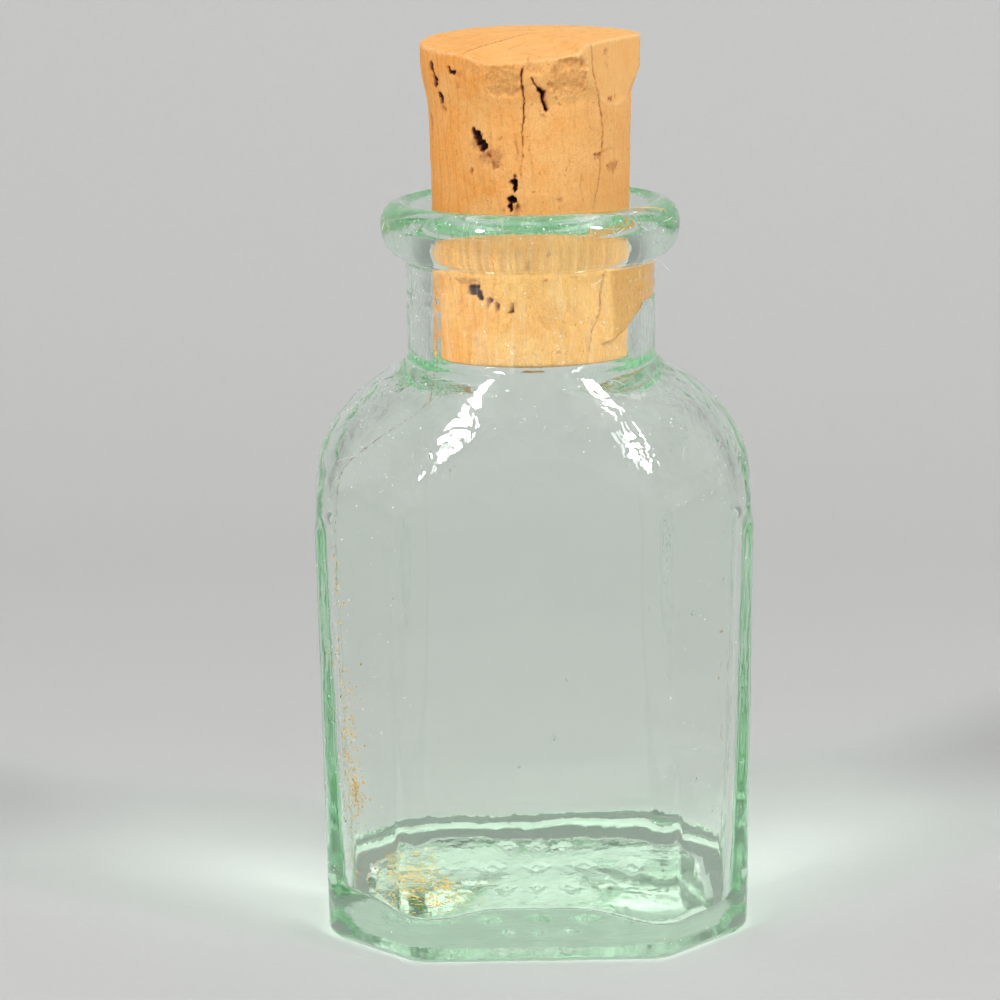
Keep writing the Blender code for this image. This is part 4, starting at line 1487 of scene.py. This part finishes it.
def glass_material(settings):
    """Clear pale green glass with a film of dust and fine unevenness, which lamp light passes straight."""
    material, tree, shader = new_material("bottle glass")
    vector = millimetres(tree)
    outside = attribute(tree, "outside_share")
    up = axes_of(tree, vector)["Z"]
    in_neck = ramped(tree, up, (NECK_FOOT - NECK_FOOT_BLEND) * MILLIMETRES, NECK_FOOT * MILLIMETRES)
    film = glass_film(tree, vector, outside, in_neck)
    relief = glass_relief(tree, vector, outside, in_neck, up)
    set_sockets(tree, shader, {
        "Base Color": (0.97, 0.99, 0.97, 1.0),
        "IOR": settings.index,
        "Roughness": ramped(tree, film, 0.0, 1.0, settings.polish, settings.polish + 0.22),
        "Transmission Weight": ramped(tree, film, 0.0, 1.0, 1.0, 1.0 - settings.dust_film),
        "Normal": bumped(tree, relief, 0.22, GLASS_RELIEF),
    })
    tint = {"Color": (*settings.tint, 1.0), "Density": settings.tint_density}
    volume = add_node(tree, "ShaderNodeVolumeAbsorption", tint)
    clear_pass = add_node(tree, "ShaderNodeBsdfTransparent", {"Color": (0.91, 0.945, 0.92, 1.0)})
    for_lamps = add_node(tree, "ShaderNodeLightPath").outputs["Is Shadow Ray"]
    sockets = {0: for_lamps, 1: shader.outputs["BSDF"], 2: clear_pass.outputs["BSDF"]}
    surface = add_node(tree, "ShaderNodeMixShader", sockets).outputs["Shader"]
    output = tree.nodes["Material Output"]
    set_sockets(tree, output, {"Surface": surface, "Volume": volume.outputs["Volume"]})
    return material


def crease_shade_and_cracks(tree, vector, mottle):
    """Thin dark lines on the cork's top: painted shade along the crease of the broken flake, and three short
    cracks.
    """
    axes = axes_of(tree, vector)
    fade, wander = CREASE_FADE * MILLIMETRES, CREASE_WANDER * MILLIMETRES
    total = 0.0
    for start, end, half_width, strength in CREASE_LINES:
        length = math.hypot(end[0] - start[0], end[1] - start[1])
        along = ((end[0] - start[0]) / length, (end[1] - start[1]) / length)
        offset = (start[0] * along[1] - start[1] * along[0]) * MILLIMETRES
        cross = maths(tree, "SUBTRACT", times(tree, axes["X"], along[1]), times(tree, axes["Y"], along[0]))
        cross = plus(tree, cross, ramped(tree, mottle, 0.3, 0.7, -wander - offset, wander - offset))
        travel = plus(tree, times(tree, axes["X"], along[0]), times(tree, axes["Y"], along[1]))
        first = (start[0] * along[0] + start[1] * along[1]) * MILLIMETRES
        last = first + length * MILLIMETRES
        width = half_width * MILLIMETRES
        near = times(
            tree,
            ramped(tree, maths(tree, "ABSOLUTE", cross), width * 0.5, width * 1.5, strength, 0.0),
            ramped(tree, travel, first, first + fade),
            ramped(tree, travel, last - fade, last, 1.0, 0.0),
        )
        total = plus(tree, total, near)
    return times(tree, total, attribute(tree, "top"))


class CorkGrain:
    """The textures that the cork's finishes share."""

    def __init__(self, tree):
        self.vector = millimetres(tree)
        self.broad = noise_of(tree, self.vector, 0.20, 4.0, 0.6, 0.4)
        self.streaks = noise_of(tree, millimetres(tree, (1.0, 1.0, 0.13)), 1.5, 4.0, 0.6, 0.5)
        self.lumps = noise_of(tree, millimetres(tree, (1.0, 1.0, 0.55)), 0.55, 5.0, 0.7, 0.8)
        self.mottle = noise_of(tree, self.vector, 1.1, 5.0, 0.7, 0.3)
        self.grainy = noise_of(tree, self.vector, 6.5, 3.0, 0.65)
        self.crumbs = noise_of(tree, millimetres(tree, (1.0, 1.0, 0.6)), 3.0, 3.0, 0.7, 0.6)


def growth_lines(tree):
    """Growth layers that slant across the cork."""
    tilt = (0.0, math.radians(14), math.radians(24))
    sockets = {"Vector": millimetres(tree, (1.0, 1.0, 0.40)), "Rotation": tilt}
    slanted = add_node(tree, "ShaderNodeMapping", sockets).outputs["Vector"]
    sockets = {"Vector": slanted, "Scale": 0.22, "Distortion": 9.0, "Detail": 4.0, "Detail Scale": 0.6}
    return add_node(tree, "ShaderNodeTexWave", sockets, wave_profile="SAW").outputs["Fac"]


def bark_colour(tree, grain, tones):
    """Cork that is warmer on its left, with upright grain, growth layers, specks and pale flecks."""
    drift = ramped(tree, grain.broad, 0.3, 0.7, -WARM_DRIFT * MILLIMETRES, WARM_DRIFT * MILLIMETRES)
    across = plus(tree, axes_of(tree, grain.vector)["X"], drift)
    leftward = ramped(tree, across, WARM_LEFT * MILLIMETRES, WARM_RIGHT * MILLIMETRES, 0.85, 0.15)
    patchy = ramped(tree, grain.broad, 0.34, 0.68, 0.25, -0.25)
    colour = mixed(tree, plus(tree, leftward, patchy), tones["pale"], tones["warm"])
    colour = washed(tree, colour, (
        (grain.lumps, 0.50, 0.72, 0.0, 0.40, tones["warm"]),
        (grain.lumps, 0.30, 0.46, 0.38, 0.0, tones["pale"]),
        (grain.streaks, 0.52, 0.76, 0.0, 0.34, tones["deep"]),
    ))
    lines = times(tree, ramped(tree, growth_lines(tree), 0.80, 1.0, 0.0, 0.58), leftward)
    colour = mixed(tree, lines, colour, tones["deep"])
    specks = noise_of(tree, grain.vector, 2.1, 2.0, 0.5, 0.8)
    return washed(tree, colour, (
        (specks, 0.685, 0.73, 0.0, 0.60, tones["speck"]),
        (grain.grainy, 0.34, 0.60, 0.30, 0.0, tones["deep"]),
        (grain.crumbs, 0.52, 0.68, 0.0, 0.34, tones["deep"]),
        (grain.crumbs, 0.30, 0.44, 0.40, 0.0, tones["pale"]),
        (grain.mottle, 0.56, 0.72, 0.0, 0.28, tones["pale"]),
    ))


def worn_colour(tree, grain, tones, colour):
    """Marks of use and painted light: the band that the lip has rubbed, darkened also as painted shade under
    the lip; pale cuts; painted highlights along the facet's edge and the top rim; and broken patches, two of
    which carry painted shadow.
    """
    up = axes_of(tree, grain.vector)["Z"]
    foot, top = NECK_TOP * MILLIMETRES, THROAT * MILLIMETRES
    combed = noise_of(tree, millimetres(tree, (1.0, 1.0, 0.03)), 0.9, 4.0, 0.75)
    # The band that the lip rubbed, streaked upright and darkened also as painted shade under the lip.
    rubbed_and_shaded = times(
        tree,
        ramped(tree, up, foot, foot + RUBBED_SHADE_FOOT_FADE * MILLIMETRES),
        ramped(tree, up, top - RUBBED_SHADE_TOP_FADE * MILLIMETRES, top, 1.0, 0.0),
        ramped(tree, combed, 0.40, 0.66, 0.12, 0.85),
    )
    smeared = noise_of(tree, millimetres(tree, (1.0, 1.0, 1.9)), 1.1, 4.0, 0.7, 1.4)
    torn = plus(
        tree,
        ramped(tree, smeared, 0.36, 0.62, 0.72, 0.05),
        ramped(tree, grain.grainy, 0.35, 0.6, 0.20, -0.10),
    )
    ragged = ramped(tree, grain.crumbs, 0.35, 0.62, 0.70, 0.0)
    for strength, tone in (
        # the rubbed band, with painted shade under the lip
        (rubbed_and_shaded, "chip_and_shade"),
        (times(tree, attribute(tree, "clean"), 0.45), "pale"),
        # painted highlight along the facet's edge and the top rim
        (times(tree, attribute(tree, "painted_edge_highlight"), ragged), "edge_highlight"),
        # broken patches; two of them carry painted shadow
        (times(tree, attribute(tree, "chipped_and_shaded"), torn), "chip_and_shade"),
    ):
        colour = mixed(tree, strength, colour, tones[tone])
    return colour


def marked_colour(tree, grain, tones, colour):
    """Reddish marks with fine dark lines in them, one of them painted shade in a dent, and pits and cracks
    that darken inwards.
    """
    stain_and_shade = attribute(tree, "stain_and_shade")
    stained_and_shaded = times(tree, stain_and_shade, ramped(tree, grain.grainy, 0.40, 0.60, 0.10, 0.80))
    colour = mixed(tree, stained_and_shaded, colour, tones["stain_and_shade"])
    crackle = maths(tree, "SUBTRACT", noise_of(tree, grain.vector, 2.4, 2.0, 0.6, 1.2), 0.5)
    crackle = ramped(tree, maths(tree, "ABSOLUTE", crackle), 0.012, 0.045, 0.75, 0.0)
    colour = mixed(tree, times(tree, crackle, stain_and_shade), colour, tones["speck"])
    hollow = plus(tree, attribute(tree, "hollow"), ramped(tree, grain.grainy, 0.0, 1.0, -0.22, 0.22))
    return washed(tree, colour, (
        (hollow, -0.22, 0.10, 0.0, 0.75, tones["stain_and_shade"]),
        (hollow, 0.06, 0.34, 0.0, 1.0, tones["pit"]),
    ))


def top_colour(tree, grain, tones, colour):
    """The cut top: grain that runs along the crease, darker worn marks, and thin dark lines that are painted
    shade along the crease and three short cracks.
    """
    top = attribute(tree, "top")
    along_crease = math.atan2(CREASE_BACK[1] - CREASE_FRONT[1], CREASE_BACK[0] - CREASE_FRONT[0])
    sockets = {"Vector": grain.vector, "Rotation": (0.0, 0.0, -along_crease), "Scale": (0.14, 1.0, 1.0)}
    cut = noise_of(tree, add_node(tree, "ShaderNodeMapping", sockets).outputs["Vector"], 1.3, 5.0, 0.7, 0.4)
    for strength, tone in (
        (times(tree, ramped(tree, cut, 0.46, 0.70, 0.0, 0.62), top), "warm"),
        (times(tree, ramped(tree, grain.lumps, 0.52, 0.66, 0.0, 0.34), top), "deep"),
        (crease_shade_and_cracks(tree, grain.vector, grain.mottle), "stain_and_shade"),
    ):
        colour = mixed(tree, strength, colour, tones[tone])
    return colour


def cork_material(settings):
    """Cork with upright growth layers, brown specks, reddish marks and dark pits."""
    material, tree, shader = new_material("cork bark")
    grain = CorkGrain(tree)
    tones = {name: (*getattr(settings, name), 1.0) for name in CORK_TONES}
    colour = bark_colour(tree, grain, tones)
    for finish in (worn_colour, marked_colour, top_colour):
        colour = finish(tree, grain, tones, colour)
    relief = plus(
        tree,
        times(tree, grain.streaks, 0.6),
        times(tree, grain.grainy, 0.45),
        times(tree, grain.mottle, 0.5),
        times(tree, grain.crumbs, -0.7),
    )
    set_sockets(tree, shader, {
        "Base Color": colour,
        "Roughness": ramped(tree, grain.mottle, 0.3, 0.7, 0.68, 0.92),
        "Normal": bumped(tree, relief, 0.7, CORK_RELIEF),
        "IOR": 1.4,
        "Specular IOR Level": 0.3,
    })
    return material


def speck_material(name, first, second, scale):
    """A dull material for dust, dirt and residue, whose colour drifts from grain to grain."""
    material, tree, shader = new_material(name)
    spots = noise_of(tree, millimetres(tree), scale, 3.0, 0.6)
    set_sockets(tree, shader, {
        "Base Color": mixed(tree, ramped(tree, spots, 0.35, 0.65), (*first, 1.0), (*second, 1.0)),
        "Roughness": ramped(tree, spots, 0.3, 0.7, 0.75, 0.9),
    })
    return material


def stage_material(settings):
    """Pale paper with a faint tooth, and painted shade that darkens it away from the middle."""
    material, tree, shader = new_material("studio paper")
    vector = millimetres(tree)
    tooth = noise_of(tree, vector, 0.8, 4.0)
    pale = tuple(settings.floor_colour)
    tooth_colour = tuple(channel * TOOTH_SHARE for channel in pale)
    painted_shade_colour = tuple(channel * PAPER_SHADE_SHARE for channel in pale)
    colour = mixed(tree, ramped(tree, tooth, 0.3, 0.7), (*tooth_colour, 1.0), (*pale, 1.0))
    sideways = maths(tree, "ABSOLUTE", axes_of(tree, vector)["X"])
    # Painted shade: the paper turns darker far out to the sides.
    outward = ramped(tree, sideways, PAPER_MIDDLE * MILLIMETRES, PAPER_EDGE * MILLIMETRES)
    set_sockets(tree, shader, {
        "Base Color": mixed(tree, outward, colour, (*painted_shade_colour, 1.0)),
        "Roughness": ramped(tree, tooth, 0.3, 0.7, 0.78, 0.9),
        "Normal": bumped(tree, tooth, 0.1, TOOTH_HEIGHT),
        "Specular IOR Level": 0.2,
    })
    return material


# Settings


def colour_property(name, description, default):
    return FloatVectorProperty(
        name=name, description=description, default=default, size=3, min=0.0, max=1.0, subtype="COLOR"
    )


class BottleGlassSettings(PropertyGroup):
    tint: colour_property("Tint", "Colour that thick glass turns", (0.46, 0.945, 0.57))
    tint_density: FloatProperty(
        name="Tint density", description="How soon thick glass turns green, per metre", default=15.5, min=0.0
    )
    index: FloatProperty(name="Refractive index", description="How much the glass bends light", default=1.5)
    polish: FloatProperty(name="Polish", description="Roughness of the clean glass", default=0.012, min=0.0)
    dust_film: FloatProperty(name="Dust film", description="Share of light a dusty spot stops", default=0.30)
    waves: FloatProperty(
        name="Waviness",
        description="Unevenness of the glass, 1 as on the real bottle",
        default=1.0,
        subtype="FACTOR",
    )


class CorkSettings(PropertyGroup):
    pale: colour_property("Pale cork", "Fresh, pale cork", (0.955, 0.535, 0.190))
    warm: colour_property("Warm cork", "Handled, warm cork", (0.915, 0.385, 0.085))
    # Painted highlight colour for the facet's edge and the top rim.
    edge_highlight: colour_property("Scuffed edges", "Pale edges of the cuts", (0.97, 0.66, 0.33))
    deep: colour_property("Grain", "Darker grain and growth lines", (0.60, 0.235, 0.060))
    speck: colour_property("Specks", "Small brown specks", (0.33, 0.12, 0.04))
    # Also the colour of painted shade under the lip and under the broken flake.
    chip_and_shade: colour_property("Broken cork", "Dull, rough broken patches", (0.60, 0.285, 0.090))
    # Also the colour of painted shade in a dent and along the crease on the top.
    stain_and_shade: colour_property("Reddish marks", "Marks round pits and knots", (0.40, 0.110, 0.050))
    pit: colour_property("Pits", "The dark inside of pits and cracks", (0.055, 0.019, 0.010))
    pit_depth: FloatProperty(name="Pit depth", description="Depth of pits and cracks, 1 as real", default=1.0)


class DirtSettings(PropertyGroup):
    dust: colour_property("Dust", "Pale dust on the glass", (0.88, 0.86, 0.78))
    seam: colour_property("Seam dirt", "Tan dirt along the mould seam", (0.36, 0.20, 0.08))
    residue: colour_property("Residue", "Dried residue inside", (0.72, 0.42, 0.09))
    dust_count: IntProperty(
        name="Dust grains", description="How many grains lie on the glass", default=DUST_COUNT, min=0
    )


class StudioSettings(PropertyGroup):
    floor_colour: colour_property("Floor", "Colour of the paper floor and backdrop", (0.53, 0.53, 0.525))
    lamp_share: FloatProperty(name="Lamps", description="Brightness of the soft lamps", default=1.0)
    sky: FloatProperty(name="Room light", description="Brightness of the room round the studio", default=0.79)


# Operators


class BOTTLE_OT_glass(Operator):
    """Build the glass bottle in place of its plain solid"""

    bl_idname = "bottle.glass"
    bl_label = "Glass"

    def execute(self, context):
        settings = context.scene.bottle_glass
        piece = glass_mesh(settings.waves)
        piece.data.materials.append(glass_material(settings))
        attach(piece, "bottle")
        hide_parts("glass_bottle")
        return {"FINISHED"}


class BOTTLE_OT_cork(Operator):
    """Build the worn cork in place of its plain solid"""

    bl_idname = "bottle.cork"
    bl_label = "Cork"

    def execute(self, context):
        settings = context.scene.bottle_cork
        piece = cork_mesh(settings.pit_depth)
        piece.data.materials.append(cork_material(settings))
        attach(piece, "cork")
        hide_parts("cork_stopper")
        return {"FINISHED"}


class BOTTLE_OT_dirt(Operator):
    """Scatter dust, scratches, seam dirt, lint and residue on the glass"""

    bl_idname = "bottle.dirt"
    bl_label = "Dust and residue"

    def execute(self, context):
        settings = context.scene.bottle_dirt
        dust = FlakePile(11)
        add_dust(dust, settings.dust_count)
        add_scratches(dust, SCRATCH_COUNT)
        seam = FlakePile(12)
        add_seam_dirt(seam)
        crumbs = FlakePile(13)
        add_crumbs(crumbs)
        pale = tuple(settings.dust)
        whiter = tuple(min(channel * 1.3, 1.0) for channel in pale)
        tan = tuple(settings.seam)
        browner = tuple(channel * 0.7 for channel in tan)
        ochre = tuple(settings.residue)
        darker = tuple(channel * 0.6 for channel in ochre)
        for piece, material in (
            (dust.piece("dust_grains"), speck_material("dust", pale, whiter, 3.0)),
            (seam.piece("seam_dirt"), speck_material("seam dirt", browner, tan, 1.5)),
            (crumbs.piece("dried_residue"), speck_material("dried residue", darker, ochre, 1.2)),
            (fibre_mesh(), speck_material("lint", pale, whiter, 2.0)),
        ):
            piece.data.materials.append(material)
            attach(piece, "bottle")
        return {"FINISHED"}


def sweep_mesh():
    """A floor that curves up into a backdrop."""
    profile = [(FLOOR_FRONT, 0.0), (FLOOR_BACK - SWEEP_RADIUS, 0.0)]
    for step in range(1, SWEEP_STEPS + 1):
        bend = math.pi / 2 * step / SWEEP_STEPS
        profile.append((
            FLOOR_BACK - SWEEP_RADIUS + SWEEP_RADIUS * math.sin(bend),
            SWEEP_RADIUS * (1 - math.cos(bend)),
        ))
    profile.append((FLOOR_BACK, BACKDROP_HEIGHT))
    points = []
    for y, z in profile:
        points += [(-FLOOR_WIDTH / 2, y, z), (FLOOR_WIDTH / 2, y, z)]
    faces = [(2 * row, 2 * row + 1, 2 * row + 3, 2 * row + 2) for row in range(len(profile) - 1)]
    return new_piece("studio_floor", points, faces)


def direction_of(turn, lift):
    return Vector((math.sin(turn) * math.cos(lift), -math.cos(turn) * math.cos(lift), math.sin(lift)))


def add_lamp(name, turn, lift, width, height, power):
    light = bpy.data.lights.new(name, "AREA")
    light.shape = "RECTANGLE"
    light.size = width
    light.size_y = height
    light.energy = power
    lamp = bpy.data.objects.new(name, light)
    bpy.context.scene.collection.objects.link(lamp)
    target = Vector((0.0, 0.0, SHOULDER_START))
    lamp.location = target + direction_of(turn, lift) * LAMP_DISTANCE
    lamp.rotation_euler = (-direction_of(turn, lift)).to_track_quat("-Z", "Y").to_euler()
    lamp.visible_camera = False
    return lamp


def add_camera():
    """The camera at the photograph's place and angle."""
    ahead = Vector((
        math.sin(CAMERA_YAW) * math.cos(CAMERA_PITCH),
        math.cos(CAMERA_YAW) * math.cos(CAMERA_PITCH),
        -math.sin(CAMERA_PITCH),
    ))
    level = Vector((math.cos(CAMERA_YAW), -math.sin(CAMERA_YAW), 0.0))
    upward = level.cross(ahead)
    right = level * math.cos(CAMERA_ROLL) + upward * math.sin(CAMERA_ROLL)
    up = upward * math.cos(CAMERA_ROLL) - level * math.sin(CAMERA_ROLL)
    camera = bpy.data.objects.new("camera", bpy.data.cameras.new("camera"))
    camera.data.sensor_width = SENSOR_WIDTH
    camera.data.lens = FOCAL_LENGTH
    turned = Matrix((right, up, -ahead)).transposed().to_4x4()
    camera.matrix_world = Matrix.Translation(Vector(CAMERA_PLACE)) @ turned
    bpy.context.scene.collection.objects.link(camera)
    bpy.context.scene.camera = camera


def set_world(brightness):
    """A room that is bright round the horizon and dimmer overhead, so that the glass shows its edges."""
    world = bpy.data.worlds.new("room")
    world.use_nodes = True
    bpy.context.scene.world = world
    tree = world.node_tree
    lift = axes_of(tree, add_node(tree, "ShaderNodeTexCoord").outputs["Generated"])["Z"]
    tone = ramped(tree, lift, 0.15, 0.9, 1.0, 0.45)
    grey = mixed(tree, tone, (0.0, 0.0, 0.0, 1.0), (1.0, 1.0, 1.0, 1.0))
    set_sockets(tree, tree.nodes["Background"], {"Color": grey, "Strength": brightness})


class BOTTLE_OT_studio(Operator):
    """Set up the pale floor, the soft lamps, the room and the camera"""

    bl_idname = "bottle.studio"
    bl_label = "Studio"

    def execute(self, context):
        settings = context.scene.bottle_studio
        floor = sweep_mesh()
        floor.data.materials.append(stage_material(settings))
        for name, turn, lift, width, height, power in LAMPS:
            add_lamp(name, turn, lift, width, height, power * settings.lamp_share)
        set_world(settings.sky)
        add_camera()
        context.scene.view_settings.view_transform = "Standard"
        light_paths = context.scene.cycles
        light_paths.max_bounces = GLASS_BOUNCES
        light_paths.transmission_bounces = GLASS_BOUNCES
        light_paths.glossy_bounces = GLASS_BOUNCES
        return {"FINISHED"}


class BOTTLE_PT_pieces(Panel):
    bl_idname = "BOTTLE_PT_pieces"
    bl_label = "Apothecary Bottle"
    bl_space_type = "VIEW_3D"
    bl_region_type = "UI"
    bl_category = "Bottle"

    def draw(self, context):
        scene = context.scene
        for settings, operator in (
            (scene.bottle_glass, BOTTLE_OT_glass),
            (scene.bottle_cork, BOTTLE_OT_cork),
            (scene.bottle_dirt, BOTTLE_OT_dirt),
            (scene.bottle_studio, BOTTLE_OT_studio),
        ):
            box = self.layout.box()
            for name in settings.__annotations__:
                box.prop(settings, name)
            box.operator(operator.bl_idname)


SETTINGS = (
    ("bottle_glass", BottleGlassSettings),
    ("bottle_cork", CorkSettings),
    ("bottle_dirt", DirtSettings),
    ("bottle_studio", StudioSettings),
)
OPERATORS = (BOTTLE_OT_studio, BOTTLE_OT_glass, BOTTLE_OT_cork, BOTTLE_OT_dirt)


def register():
    for name, group in SETTINGS:
        bpy.utils.register_class(group)
        setattr(bpy.types.Scene, name, PointerProperty(type=group))
    for operator in OPERATORS:
        bpy.utils.register_class(operator)
    bpy.utils.register_class(BOTTLE_PT_pieces)


def unregister():
    bpy.utils.unregister_class(BOTTLE_PT_pieces)
    for operator in reversed(OPERATORS):
        bpy.utils.unregister_class(operator)
    for name, group in reversed(SETTINGS):
        delattr(bpy.types.Scene, name)
        bpy.utils.unregister_class(group)


def main():
    register()
    bpy.ops.bottle.studio()
    bpy.ops.bottle.glass()
    bpy.ops.bottle.cork()
    bpy.ops.bottle.dirt()


if __name__ == "__main__":
    main()
